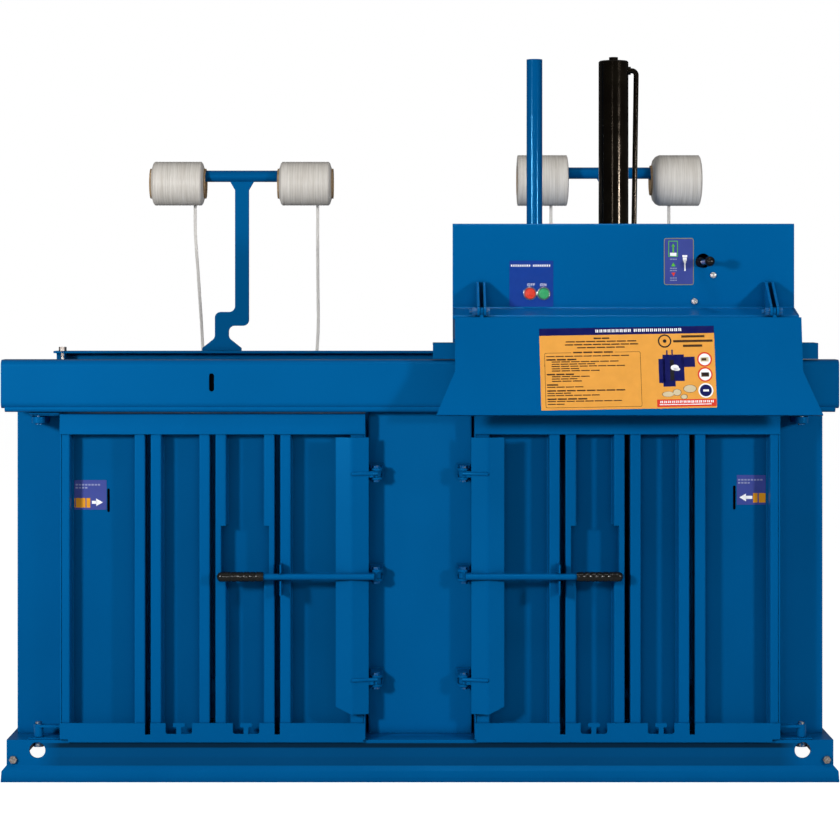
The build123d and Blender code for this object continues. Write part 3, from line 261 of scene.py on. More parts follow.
def ribbon(name, points, waves, swing):
    """A flat band along the points, which swings about its own line in so many waves."""
    across_steps = 4
    edge_thinning = 0.35
    lengths = [0.0]
    for before, after in zip(points, points[1:]):
        lengths.append(lengths[-1] + (after - before).length)
    rings = []
    for index, point in enumerate(points):
        ahead = points[min(index + 1, len(points) - 1)]
        behind = points[max(index - 1, 0)]
        along = (ahead - behind).normalized()
        sideways = Vector((1, 0, 0))
        side = (sideways - along * sideways.dot(along)).normalized()
        normal = along.cross(side)
        share = lengths[index] / lengths[-1]
        turn = swing * sin(2 * pi * waves * share) * sin(pi * share)
        across = side * cos(turn) + normal * sin(turn)
        outward = normal * cos(turn) - side * sin(turn)
        ring = []
        for face in (1, -1):
            for step in range(across_steps + 1):
                offset = (step / across_steps * 2 - 1) * face
                swell = 1 - edge_thinning * offset * offset
                ring.append(point + across * offset * strap_width / 2
                            + outward * face * swell * strap_thickness / 2)
        rings.append(ring)
    size = len(rings[0])
    faces = []
    for row in range(len(rings) - 1):
        for step in range(size):
            after = (step + 1) % size
            faces.append((row * size + step, row * size + after,
                          (row + 1) * size + after, (row + 1) * size + step))
    faces.append(tuple(range(size - 1, -1, -1)))
    last = (len(rings) - 1) * size
    faces.append(tuple(last + step for step in range(size)))
    mesh = bpy.data.meshes.new(name)
    mesh.from_pydata([tuple(p) for ring in rings for p in ring], [], faces)
    layer = mesh.uv_layers.new(name="along_strap")
    for polygon in mesh.polygons:
        for corner, vertex in zip(polygon.loop_indices, polygon.vertices):
            row, step = divmod(vertex, size)
            layer.data[corner].uv = ((step % (across_steps + 1)) / across_steps, lengths[row])
    piece = bpy.data.objects.new(name, mesh)
    bpy.context.scene.collection.objects.link(piece)
    return piece, lengths[-1]


def new_finish(name, color, roughness, metallic=0.0, specular=0.5):
    """A material whose main shader has these plain values. Returns it with its tree and shader."""
    finish = bpy.data.materials.new(name)
    finish.use_nodes = True
    main = finish.node_tree.nodes["Principled BSDF"]
    main.inputs["Base Color"].default_value = (*color, 1)
    main.inputs["Roughness"].default_value = roughness
    main.inputs["Metallic"].default_value = metallic
    main.inputs["Specular IOR Level"].default_value = specular
    return finish, finish.node_tree, main


def noise(tree, scale, detail=2.0, stretch=(1, 1, 1)):
    """A noise on the piece's own metres, stretched along its axes. Returns its value output."""
    mapping = tree.nodes.new("ShaderNodeMapping")
    mapping.inputs["Scale"].default_value = stretch
    link(tree, tree.nodes.new("ShaderNodeTexCoord").outputs["Object"], mapping.inputs["Vector"])
    texture = tree.nodes.new("ShaderNodeTexNoise")
    texture.inputs["Scale"].default_value = scale
    texture.inputs["Detail"].default_value = detail
    link(tree, mapping.outputs["Vector"], texture.inputs["Vector"])
    return texture.outputs["Fac"]


def wave(tree, direction, scale, vector):
    """Even bands across one axis of the vector. Returns their value output."""
    texture = tree.nodes.new("ShaderNodeTexWave")
    texture.wave_type = "BANDS"
    texture.bands_direction = direction
    texture.inputs["Scale"].default_value = scale
    link(tree, vector, texture.inputs["Vector"])
    return texture.outputs["Fac"]


def two_colors(tree, factor, first, second):
    """The first colour where the factor is 0, the second where it is 1."""
    node = tree.nodes.new("ShaderNodeMix")
    node.data_type = "RGBA"
    for socket, color in zip((node.inputs[6], node.inputs[7]), (first, second)):
        if isinstance(color, tuple):
            socket.default_value = (*color, 1)
        else:
            link(tree, color, socket)
    link(tree, factor, node.inputs[0])
    return node.outputs[2]


def color_by(tree, shader, value, first, second, low_in=0.3, high_in=0.7):
    """Lets the shader's colour go from the first to the second with the value."""
    share = spread(tree, value, 0.0, 1.0, low_in, high_in)
    link(tree, two_colors(tree, share, first, second), shader.inputs["Base Color"])


def rough_by(tree, shader, value, low, high):
    """Lets the shader's roughness go from low to high with the value."""
    link(tree, spread(tree, value, low, high), shader.inputs["Roughness"])


def bump(tree, shader, height, depth, strength=1.0, below=None):
    """Raises the surface by the height, in metres. A second bump can lie under it."""
    node = tree.nodes.new("ShaderNodeBump")
    node.inputs["Strength"].default_value = strength
    node.inputs["Distance"].default_value = depth
    link(tree, height, node.inputs["Height"])
    if below is not None:
        link(tree, below, node.inputs["Normal"])
    link(tree, node.outputs["Normal"], shader.inputs["Normal"])
    return node.outputs["Normal"]


strap_yarn, tree, shader = new_finish("woven_strap", (0.72, 0.70, 0.66), 0.45)
uv = tree.nodes.new("ShaderNodeUVMap")
uv.uv_map = "along_strap"
warp_ribs = wave(tree, "X", 3.2, uv.outputs["UV"])
picks = wave(tree, "Y", 90.0, uv.outputs["UV"])
weave = combine(tree, "ADD", warp_ribs, picks)
bump(tree, shader, weave, 0.0003, 0.6)
color_by(tree, shader, weave, (0.68, 0.65, 0.60), (0.92, 0.90, 0.86), 0.2, 1.6)
shader.inputs["Sheen Weight"].default_value = 0.2

for name, (top_x, rail_x, entry_x, y, spool_z) in strap_ends.items():
    waves = 3.0 if name == "far_left" else 1.0
    swing = 0.55 if name == "far_left" else 0.2
    path = smooth_line(name + "_guide", strap_route(top_x, rail_x, entry_x, y, spool_z))
    band, length = ribbon(name + "_strap", path, waves, swing)
    band.data.materials.append(strap_yarn)
    for polygon in band.data.polygons:
        polygon.use_smooth = True
    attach(band, "root")
    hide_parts("strap_" + name)

# The body is welded from folded steel sheet, and the whole machine is sprayed in one deep blue
# enamel. The coat has a faint orange peel. Painted shade darkens it in the folds, corners and
# door recesses, and low on the base's front, most as a painted shadow under the doors.
blue = (0.0, 0.100, 0.302)
deep_blue = (0.0, 0.089, 0.270)
worn_blue = (0.002, 0.160, 0.410)
corner_shade_color = (0.0, 0.024, 0.090)
recess_shade_color = (0.0, 0.010, 0.040)
shade_on_base = (0.003, 0.010, 0.022)
recess_y = face_y + 0.049
recess_shade_amount = 0.20
foot_height = 0.11
# Heights on the base and how much painted shade lies there. The darkest band is a painted
# shadow under the doors.
base_shade_heights = ((0.0382, 0.0), (0.0400, 0.42), (0.0580, 0.42), (0.0640, 0.34), (0.0830, 0.34), (0.0855, 0.93),
              (0.0950, 0.93), (0.0970, 0.0))
edge_radius = 0.0022


def repaint(node, finish):
    """Gives the finish to one CAD node in place of what it had."""
    node.data.materials.clear()
    node.data.materials.append(finish)


def dress(slot, finish):
    """Gives the finish to each CAD node of a material slot."""
    for name, node in nodes.items():
        if slot_of[name] == slot:
            repaint(node, finish)


enamel, tree, shader = new_finish("blue_enamel", blue, 0.34, specular=0.30)
shader.inputs["Specular Tint"].default_value = (0.03, 0.50, 1.0, 1)
coat = two_colors(tree, spread(tree, noise(tree, 2.2, 3.0), 0.0, 1.0), deep_blue, blue)
worn = spread(tree, noise(tree, 95.0, 4.0), 0.0, 0.16, 0.62, 0.80)
coat = two_colors(tree, worn, coat, worn_blue)
# Painted shade: the coat goes dark where ambient occlusion finds other surfaces close by.
corner = tree.nodes.new("ShaderNodeAmbientOcclusion")
corner.samples = 6
corner.inputs["Distance"].default_value = 0.03
coat = two_colors(tree, spread(tree, corner.outputs["AO"], 0.0, 1.0, 0.15, 0.85), corner_shade_color, coat)
place = tree.nodes.new("ShaderNodeSeparateXYZ")
link(tree, tree.nodes.new("ShaderNodeTexCoord").outputs["Object"], place.inputs["Vector"])
# Painted shade on the recessed skin of the doors, in a depth band behind their face.
into_recess = spread(tree, place.outputs["Y"], 0.0, 1.0, recess_y - 0.012, recess_y - 0.004)
past_recess = spread(tree, place.outputs["Y"], 1.0, 0.0, recess_y + 0.012, recess_y + 0.014)
in_recess = combine(tree, "MULTIPLY", into_recess, past_recess)
coat = two_colors(tree, combine(tree, "MULTIPLY", in_recess, recess_shade_amount), coat, recess_shade_color)
# Painted shade low on the base's front, and a painted shadow in the gap under the doors.
base_shade_ramp = tree.nodes.new("ShaderNodeValToRGB")
shade_ramp_line = base_shade_ramp.color_ramp.elements
while len(shade_ramp_line) < len(base_shade_heights):
    shade_ramp_line.new(0.5)
for entry, (z, amount) in zip(shade_ramp_line, base_shade_heights):
    entry.position = z / foot_height
    entry.color = (amount, amount, amount, 1)
link(tree, spread(tree, place.outputs["Z"], 0.0, 1.0, 0.0, foot_height), base_shade_ramp.inputs["Fac"])
from_middle = combine(tree, "ABSOLUTE", place.outputs["X"])
clear_of_ends = spread(tree, from_middle, 1.0, 0.0, 0.90, 0.96)
base_shade_mask = combine(tree, "MULTIPLY", clear_of_ends, base_shade_ramp.outputs["Color"])
link(tree, two_colors(tree, base_shade_mask, coat, shade_on_base), shader.inputs["Base Color"])
rough_by(tree, shader, noise(tree, 7.0, 3.0, (1.0, 1.0, 0.25)), 0.28, 0.40)
round_edge = tree.nodes.new("ShaderNodeBevel")
round_edge.samples = 4
round_edge.inputs["Radius"].default_value = edge_radius
dented = bump(tree, shader, noise(tree, 1.6, 1.0), 0.0040, 0.35, round_edge.outputs["Normal"])
bump(tree, shader, noise(tree, 260.0, 2.0), 0.00025, 0.35, dented)
dress("blue_paint", enamel)

# The guide tube is drawn steel and is welded to the platen. The same enamel lies smoother on
# it than on sheet, and shines.
tube_enamel = enamel.copy()
tube_enamel.name = "tube_enamel"
tree = tube_enamel.node_tree
shader = tree.nodes["Principled BSDF"]
for rough_link in list(shader.inputs["Roughness"].links):
    tree.links.remove(rough_link)
rough_by(tree, shader, noise(tree, 30.0, 3.0), 0.09, 0.16)
shader.inputs["Specular IOR Level"].default_value = 0.26
shader.inputs["Specular Tint"].default_value = (0.15, 0.62, 1.0, 1)
repaint(nodes["guide_tube"], tube_enamel)

# Bolts of the locks and the flap are steel, put in before the spraying and painted over with
# the body. Spanners have chipped the coat a little.
painted_steel, tree, shader = new_finish("painted_bolts", deep_blue, 0.36, specular=0.3)
color_by(tree, shader, noise(tree, 240.0, 3.0), deep_blue, (0.10, 0.13, 0.17), 0.60, 0.66)
bump(tree, shader, noise(tree, 320.0, 2.0), 0.0003, 0.4)
dress("painted_bolts", painted_steel)

# Hinge pins and roller axles are cut from zinc plated bar and pushed into their brackets. They
# are dull and half covered by blue overspray.
zinc, tree, shader = new_finish("plated_steel", (0.30, 0.32, 0.36), 0.42, metallic=0.8)
color_by(tree, shader, noise(tree, 130.0, 4.0), (0.01, 0.11, 0.28), (0.44, 0.43, 0.41), 0.48, 0.62)
rough_by(tree, shader, noise(tree, 140.0), 0.28, 0.5)
dress("plated_steel", zinc)

# Track rollers are turned from steel bar and run on their axles. The tool left fine rings, and
# grease clings to them.
turned, tree, shader = new_finish("turned_steel", (0.36, 0.36, 0.35), 0.34, metallic=1.0)
bump(tree, shader, noise(tree, 30.0, 3.0, (1.0, 40.0, 1.0)), 0.0002, 0.4)
rough_by(tree, shader, noise(tree, 50.0, 4.0), 0.25, 0.5)
grease = spread(tree, noise(tree, 22.0, 4.0), 0.0, 0.9, 0.45, 0.7)
link(tree, two_colors(tree, grease, (0.42, 0.42, 0.41), (0.10, 0.09, 0.08)), shader.inputs["Base Color"])
dress("turned_steel", turned)

# The piston rod is ground steel with hard chrome and stands on the platen with a round foot.
# The seal wipes it lengthwise at each stroke.
chrome, tree, shader = new_finish("hard_chrome", (0.62, 0.63, 0.64), 0.10, metallic=1.0)
rough_by(tree, shader, noise(tree, 120.0, 2.0, (1.0, 1.0, 0.02)), 0.06, 0.20)
color_by(tree, shader, noise(tree, 9.0), (0.56, 0.57, 0.58), (0.68, 0.69, 0.70))
dress("hard_chrome", chrome)

# The guide bush is cast brass, turned where the tube runs, and is pressed into the beam of
# the carriage.
brass, tree, shader = new_finish("brass_bush", (0.58, 0.39, 0.13), 0.32, metallic=1.0)
color_by(tree, shader, noise(tree, 45.0, 4.0), (0.44, 0.28, 0.09), (0.66, 0.46, 0.17))
bump(tree, shader, noise(tree, 30.0, 3.0, (1.0, 1.0, 30.0)), 0.0002, 0.4)
dress("brass_bush", brass)

# The cylinder, its pipe and the oil tank are welded steel with a thick black gloss coat. Fine
# dust lies in it.
black_gloss, tree, shader = new_finish("black_gloss", (0.006, 0.005, 0.004), 0.16, specular=0.22)
shader.inputs["Specular Tint"].default_value = (1.0, 0.80, 0.62, 1)
color_by(tree, shader, noise(tree, 14.0, 4.0), (0.004, 0.003, 0.002), (0.010, 0.008, 0.005), 0.35, 0.75)
rough_by(tree, shader, noise(tree, 40.0, 4.0), 0.09, 0.20)
bump(tree, shader, noise(tree, 160.0, 3.0), 0.00012, 0.35)
dress("black_gloss", black_gloss)

# The lever grips are black vinyl. The lever's warm end was dipped in it, and hands have
# polished it a little.
vinyl, tree, shader = new_finish("black_grip", (0.006, 0.006, 0.005), 0.22, specular=0.35)
rough_by(tree, shader, noise(tree, 70.0, 3.0), 0.18, 0.32)
color_by(tree, shader, noise(tree, 40.0), (0.004, 0.004, 0.003), (0.009, 0.008, 0.006))
bump(tree, shader, noise(tree, 500.0, 2.0), 0.00004, 0.3)
dress("black_grip", vinyl)

# The valve's lever, ball and collar are moulded from black plastic. The mould's spark erosion
# left a fine grain.
moulded, tree, shader = new_finish("black_plastic", (0.012, 0.012, 0.013), 0.12, specular=0.25)
rough_by(tree, shader, noise(tree, 90.0, 3.0), 0.08, 0.16)
color_by(tree, shader, noise(tree, 60.0), (0.002, 0.002, 0.002), (0.005, 0.004, 0.004))
bump(tree, shader, noise(tree, 700.0, 2.0), 0.0001, 0.4)
dress("black_plastic", moulded)

# The pump motor is an aluminium casting and stands with its foot on the carriage. It still
# has the skin of the sand mould.
casting, tree, shader = new_finish("grey_casting", (0.30, 0.31, 0.32), 0.5, metallic=0.6)
color_by(tree, shader, noise(tree, 35.0, 5.0), (0.24, 0.25, 0.26), (0.38, 0.39, 0.40))
bump(tree, shader, noise(tree, 420.0, 3.0), 0.0004, 0.6)
dress("grey_casting", casting)

# Button bezels are turned from aluminium and set into the panel. They are bright, slightly
# brushed round.
bright, tree, shader = new_finish("bright_bezel", (0.72, 0.72, 0.73), 0.16, metallic=1.0)
rough_by(tree, shader, noise(tree, 300.0, 2.0), 0.10, 0.24)
color_by(tree, shader, noise(tree, 200.0), (0.64, 0.64, 0.65), (0.80, 0.80, 0.81))
dress("bright_bezel", bright)

# The push buttons are moulded in solid colour, red for off and green for on. Fingers have
# rubbed them.
button_skins = {}
for slot, light_tone, dark_tone in (("red_button", (0.80, 0.060, 0.032), (0.66, 0.040, 0.022)),
                                    ("green_button", (0.045, 0.42, 0.16), (0.03, 0.30, 0.11))):
    button_skin, tree, shader = new_finish(slot, light_tone, 0.3, specular=0.5)
    color_by(tree, shader, noise(tree, 130.0, 3.0), dark_tone, light_tone)
    rough_by(tree, shader, noise(tree, 220.0), 0.22, 0.36)
    dress(slot, button_skin)
    button_skins[slot] = button_skin

# Spool cores are tubes of wound paper, brown and matt, pushed onto the arms of the posts. A
# faint line shows where the paper laps.
board, tree, shader = new_finish("cardboard", (0.42, 0.28, 0.15), 0.85, specular=0.2)
fibre = noise(tree, 180.0, 5.0, (0.4, 1.0, 1.0))
color_by(tree, shader, fibre, (0.33, 0.21, 0.11), (0.50, 0.35, 0.20))
bump(tree, shader, fibre, 0.0004, 0.5)
dress("cardboard", board)

# Each roll is a white strap wound lap beside lap on its core. The laps stand out as low crowns.
# The left rolls have slanting ends, and the right ones end flush with their core on one side.
roll_steps = 72
roll_bore = 0.0434
lap_width = 0.0094
lap_rise = 0.0007
crown_gap = 0.0001
end_slant = 0.008
rim_tolerance = 0.0001
flush_more = 0.0053


def placed(name):
    """The piece that was just added, named, with its place, turn and scale applied."""
    piece = bpy.context.object
    piece.name = name
    bpy.ops.object.transform_apply(location=True, rotation=True, scale=True)
    return piece


def only(*pieces):
    """Selects these pieces and no others, with the first one active."""
    bpy.ops.object.select_all(action="DESELECT")
    for piece in pieces:
        piece.select_set(True)
    bpy.context.view_layer.objects.active = pieces[0]


def pick(piece, kind, wanted):
    """Selects the edges or faces that pass the test and leaves the piece in edit mode."""
    bpy.ops.object.mode_set(mode="EDIT")
    bpy.ops.mesh.select_mode(type=kind)
    bpy.ops.mesh.select_all(action="DESELECT")
    bpy.ops.object.mode_set(mode="OBJECT")
    for element in piece.data.edges if kind == "EDGE" else piece.data.polygons:
        element.select = wanted(element)
    bpy.ops.object.mode_set(mode="EDIT")


def outward_and_smooth(angle):
    """Turns all normals outward, leaves edit mode and smooths the faces up to the angle."""
    bpy.ops.mesh.select_all(action="SELECT")
    bpy.ops.mesh.normals_make_consistent(inside=False)
    bpy.ops.object.mode_set(mode="OBJECT")
    bpy.ops.object.shade_smooth_by_angle(angle=radians(angle))


def wound_roll(name, node, left_slant=end_slant, right_slant=end_slant, left_more=0.0, right_more=0.0):
    """A roll in the place of a CAD winding, turned from its side line, lap by lap."""
    low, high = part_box(node)
    middle = (low + high) / 2
    outer = (high.z - low.z) / 2
    left = low.x - left_more
    right = high.x + right_more
    laps = round((right - left - left_slant - right_slant) / lap_width)
    width = (right - left - left_slant - right_slant) / laps
    line = [(left + 0.0006, roll_bore), (left, roll_bore + 0.002), (left + left_slant * 0.15, outer - 0.015),
            (left + left_slant * 0.55, outer - 0.005)]
    for lap in range(laps):
        start = left + left_slant + lap * width
        line += [(start, outer - lap_rise), (start + width * 0.22, outer - crown_gap),
                 (start + width * 0.78, outer - crown_gap)]
    line += [(right - right_slant, outer - lap_rise), (right - right_slant * 0.55, outer - 0.005),
             (right - right_slant * 0.15, outer - 0.015), (right, roll_bore + 0.002),
             (right - 0.0006, roll_bore)]
    bpy.ops.object.select_all(action="DESELECT")
    bpy.ops.mesh.primitive_circle_add(vertices=roll_steps, radius=roll_bore, rotation=(0, radians(90), 0),
                                      location=(line[0][0], middle.y, middle.z))
    roll = placed(name)
    bpy.ops.object.mode_set(mode="EDIT")
    bpy.ops.mesh.select_mode(type="VERT")
    bpy.ops.mesh.select_all(action="SELECT")
    for before, after in zip(line, line[1:]):
        bpy.ops.mesh.extrude_region_move(TRANSFORM_OT_translate={"value": (after[0] - before[0], 0, 0)})
        grow = after[1] / before[1]
        bpy.ops.transform.resize(value=(1, grow, grow), center_override=(after[0], middle.y, middle.z))

    def on_rim(edge):
        ends = [roll.data.vertices[index].co.x for index in edge.vertices]
        return any(max(abs(end - rim_x) for end in ends) < rim_tolerance
                   for rim_x in (line[0][0], line[-1][0]))

    pick(roll, "EDGE", on_rim)
    bpy.ops.mesh.bridge_edge_loops()
    outward_and_smooth(50)
    return roll


def second_roll(first, name, node, first_node):
    """The same roll again, at another winding of the same size."""
    roll = first.copy()
    roll.data = first.data.copy()
    roll.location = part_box(node)[0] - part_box(first_node)[0]
    bpy.context.scene.collection.objects.link(roll)
    only(roll)
    return placed(name)


wound_yarn, tree, shader = new_finish("wound_yarn", (0.80, 0.76, 0.70), 0.36, specular=0.5)
lap_lines = noise(tree, 420.0, 3.0, (1.0, 0.02, 0.02))
lap_tone = two_colors(tree, spread(tree, lap_lines, 0.0, 1.0, 0.35, 0.65), (0.64, 0.60, 0.54),
                      (0.82, 0.78, 0.72))
lap_soil = spread(tree, noise(tree, 26.0, 3.0, (1.0, 0.3, 0.3)), 0.0, 0.35, 0.45, 0.75)
link(tree, two_colors(tree, lap_soil, lap_tone, (0.60, 0.54, 0.47)), shader.inputs["Base Color"])
bump(tree, shader, noise(tree, 1500.0, 2.0, (1.0, 0.08, 0.08)), 0.0003, 0.7)
rough_by(tree, shader, lap_lines, 0.34, 0.52)

small_roll = wound_roll("near_left_roll", "near_left_winding")
rolls = {
    "near_left": small_roll,
    "far_left": second_roll(small_roll, "far_left_roll", "far_left_winding", "near_left_winding"),
    "near_right": wound_roll("near_right_roll", "near_right_winding", 0.002, 0.004, flush_more, flush_more),
    "far_right": wound_roll("far_right_roll", "far_right_winding", 0.020, 0.006, 0.0, flush_more),
}
for name, roll in rolls.items():
    roll.data.materials.append(wound_yarn)
    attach(roll, name + "_spool")
    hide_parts(name + "_winding")

# The plates are printed vinyl on the panel, the doors and the flap. Their print is kept as
# plain fields and simple forms, and the switches keep their ON and OFF.
vinyl_thickness = 0.0004
layer_step = 0.5


def ink(name, color, roughness=0.42):
    """A printed colour, a little uneven and rubbed."""
    finish, tree, shader = new_finish(name, color, roughness, specular=0.22)
    pale = tuple(min(1.0, value * 1.04 + 0.001) for value in color)
    dark = tuple(value * 0.96 for value in color)
    color_by(tree, shader, noise(tree, 36.0, 4.0), dark, pale)
    rough_by(tree, shader, noise(tree, 60.0, 3.0), roughness - 0.08, roughness + 0.10)
    return finish


def patch(x0, x1, z0, z1, layer, finish, round_by=0.0):
    """A thin rectangle of print, drawn in X and Z on the plane y = 0, raised by its layer."""
    bpy.ops.object.select_all(action="DESELECT")
    depth = vinyl_thickness * (1 + layer_step * layer)
    bpy.ops.mesh.primitive_cube_add(size=1, location=((x0 + x1) / 2, -depth / 2, (z0 + z1) / 2))
    bpy.context.object.scale = (x1 - x0, depth, z1 - z0)
    field = placed("field")
    if round_by > 0:
        heights = [vertex.co.y for vertex in field.data.vertices]
        pick(field, "EDGE",
             lambda edge: abs(heights[edge.vertices[0]] - heights[edge.vertices[1]]) > depth / 2)
        bpy.ops.mesh.bevel(offset=round_by, segments=6)
        bpy.ops.object.mode_set(mode="OBJECT")
    field.data.materials.append(finish)
    return field


def disc(x, z, radius, layer, finish, sides=40, turn=0.0, squeeze=1.0):
    """A thin round or many-sided field of print, drawn like a patch."""
    bpy.ops.object.select_all(action="DESELECT")
    depth = vinyl_thickness * (1 + layer_step * layer)
    bpy.ops.mesh.primitive_cylinder_add(vertices=sides, radius=radius, depth=depth,
                                        location=(x, -depth / 2, z), rotation=(radians(90), radians(turn), 0))
    field = placed("field")
    if squeeze != 1.0:
        bpy.ops.object.mode_set(mode="EDIT")
        bpy.ops.mesh.select_all(action="SELECT")
        bpy.ops.transform.resize(value=(1, 1, squeeze), center_override=(x, 0, z))
        bpy.ops.object.mode_set(mode="OBJECT")
    field.data.materials.append(finish)
    return field


def plate(name, fields):
    """Joins the fields to one plate."""
    only(*fields)
    bpy.ops.object.join()
    fields[0].name = name
    return fields[0]


def settle(piece, matrix, body):
    """Moves a plate from the drawing plane to its place on the machine."""
    piece.matrix_world = matrix @ piece.matrix_world
    only(piece)
    bpy.ops.object.transform_apply(location=True, rotation=True, scale=True)
    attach(piece, body)


navy = ink("navy_print", (0.001, 0.003, 0.090))
white = ink("white_print", (0.93, 0.94, 0.96))
orange = ink("orange_print", (0.80, 0.36, 0.060))
brown = ink("brown_print", (0.062, 0.030, 0.010))
cream = ink("cream_print", (0.66, 0.56, 0.36))
red = ink("red_print", (0.70, 0.045, 0.020))
violet = ink("violet_print", (0.040, 0.060, 0.28))
tan = ink("tan_print", (0.22, 0.21, 0.16))
lime = ink("lime_print", (0.10, 0.48, 0.03))
control_blue = ink("control_print", (0.002, 0.040, 0.28))
black = ink("black_print", (0.008, 0.008, 0.012))
amber = ink("amber_print", (0.72, 0.30, 0.010))
pale_violet = ink("pale_violet_print", (0.24, 0.27, 0.46))

# The control plate is a blue vinyl sticker on the panel, behind the two buttons. It has a
# white heading of plain bars and the captions OFF and ON.
panel_plane = Matrix.Translation((0, face_y, 0))
heading_step = 0.0056
heading_bar = 0.0031
caption_z = 1.2400
caption_size = 0.0094
letter_spacing = 1.3
fields = [patch(0.2235, 0.3333, 1.1883, 1.3035, 0, control_blue, 0.003)]
for start, count in ((0.2275, 9), (0.2830, 8)):
    for index in range(count):
        x = start + index * heading_step
        fields.append(patch(x, x + heading_bar, 1.2884, 1.2936, 1, white))
control_plate = plate("control_plate", fields)
settle(control_plate, panel_plane, "head")

for word, x in (("OFF", 0.2775), ("ON", 0.3080)):
    bpy.ops.object.select_all(action="DESELECT")
    bpy.ops.object.text_add(location=(x, face_y - 1.5 * vinyl_thickness, caption_z),
                            rotation=(radians(90), 0, 0))
    letters = bpy.context.object.data
    letters.body = word
    letters.size = caption_size
    letters.space_character = letter_spacing
    letters.align_x = "CENTER"
    letters.extrude = vinyl_thickness * 0.3
    letters.resolution_u = 4
    bpy.ops.object.convert(target="MESH")
    caption = placed("caption_" + word.lower())
    caption.data.materials.append(white)
    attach(caption, "head")

# The valve plate is a violet blue vinyl sticker with a tan border. It shows the press in a green
# frame, an up and a down mark with plain bars, and the lever as a white form.
fields = [patch(0.6098, 0.6843, 1.2425, 1.3600, 0, tan, 0.006),
          patch(0.6118, 0.6823, 1.2445, 1.3580, 1, violet, 0.0045),
          patch(0.6208, 0.6445, 1.3133, 1.3530, 2, lime), patch(0.6226, 0.6427, 1.3151, 1.3512, 3, violet),
          patch(0.6312, 0.6346, 1.3230, 1.3400, 4, lime), patch(0.6250, 0.6410, 1.3150, 1.3232, 4, white),
          disc(0.6329, 1.3410, 0.0050, 4, lime, sides=3),
          disc(0.6333, 1.2925, 0.0062, 2, lime, sides=3),
          disc(0.6337, 1.2703, 0.0062, 2, red, sides=3, turn=180),
          patch(0.6560, 0.6680, 1.3125, 1.3172, 2, white), patch(0.6572, 0.6668, 1.3030, 1.3115, 2, white),
          patch(0.6590, 0.6650, 1.2990, 1.3030, 2, white), patch(0.6605, 0.6640, 1.2775, 1.2990, 2, white)]
caption_half = 0.0013
for z in (1.3070, 1.2842, 1.2785, 1.2600, 1.2543):
    for x0, x1 in ((0.6250, 0.6305), (0.6312, 0.6368), (0.6376, 0.6420)):
        fields.append(patch(x0, x1, z - caption_half, z + caption_half, 2, pale_violet))
valve_plate = plate("valve_plate", fields)
settle(valve_plate, panel_plane, "head")

# The orange vinyl plate on the flap has a navy heading, framed rows of bars on the left, and a
# plain press form, three round badges and a red field on the right. It sits a degree askew.
plate_width = 0.429
plate_height = 0.203
plate_turn = -1.0
plate_up_flap = 0.1163
word_gap = 0.055
word_share = 0.88
badge_u = 0.940
dial_u = 0.716
dial_v = 0.178


def at(u0, v0, u1, v1, layer, finish, round_by=0.0):
    """A patch between two points given as shares of the plate, from its top left corner."""
    return patch((u0 - 0.5) * plate_width, (u1 - 0.5) * plate_width,
                 (0.5 - v1) * plate_height, (0.5 - v0) * plate_height, layer, finish, round_by)


def spot(u, v, radius, layer, finish, **form):
    """A disc at a point given as shares of the plate."""
    return disc((u - 0.5) * plate_width, (0.5 - v) * plate_height, radius, layer, finish, **form)


def rings(u, v, radius, band, outer_finish, inner_finish):
    """A round field with a coloured rim, at a point given as shares of the plate."""
    return [spot(u, v, radius, 1, outer_finish), spot(u, v, radius - band, 2, inner_finish)]


fields = [at(0, 0, 1, 1, 0, orange, 0.002), at(0, 0, 1, 0.088, 1, navy)]
for start, count in ((0.322, 9), (0.542, 12)):
    for index in range(count):
        u = start + index * 0.0232
        fields += [at(u, 0.022, u + 0.0062, 0.058, 2, white),
                   at(u + 0.0098, 0.022, u + 0.0160, 0.058, 2, white)]
fields += [at(0.026, 0.300, 0.575, 0.972, 1, brown, 0.004),
           at(0.0283, 0.3045, 0.5727, 0.9675, 2, orange, 0.0035), at(0.180, 0.285, 0.430, 0.315, 3, orange)]
# Left and right end, middle and half height of each bar, as shares of the plate.
bars = [(0.310, 0.405, 0.130, 0.009), (0.150, 0.560, 0.168, 0.007), (0.145, 0.570, 0.205, 0.007),
        (0.215, 0.492, 0.242, 0.007), (0.190, 0.425, 0.300, 0.009), (0.037, 0.515, 0.345, 0.006),
        (0.037, 0.215, 0.385, 0.009), (0.066, 0.455, 0.412, 0.006), (0.066, 0.320, 0.440, 0.006),
        (0.066, 0.490, 0.467, 0.006), (0.066, 0.228, 0.495, 0.006), (0.066, 0.345, 0.522, 0.006),
        (0.037, 0.198, 0.565, 0.009), (0.066, 0.287, 0.592, 0.006), (0.066, 0.216, 0.620, 0.006),
        (0.066, 0.243, 0.648, 0.006), (0.037, 0.108, 0.692, 0.009), (0.037, 0.249, 0.720, 0.006),
        (0.037, 0.487, 0.765, 0.008), (0.037, 0.177, 0.795, 0.006), (0.037, 0.340, 0.822, 0.006),
        (0.037, 0.270, 0.866, 0.009), (0.037, 0.466, 0.894, 0.006), (0.037, 0.139, 0.928, 0.006)]
for u0, u1, v, half in bars:
    words = max(1, round((u1 - u0) / word_gap))
    step = (u1 - u0) / words
    for index in range(words):
        fields.append(at(u0 + index * step, v - half, u0 + (index + word_share) * step, v + half, 4, brown))
for u0, u1, v in ((0.812, 0.945, 0.125), (0.765, 0.990, 0.182), (0.820, 0.930, 0.240)):
    fields.append(at(u0, v - 0.014, u1, v + 0.014, 1, brown))
fields += rings(dial_u, dial_v, 0.0165, 0.0035, black, orange)
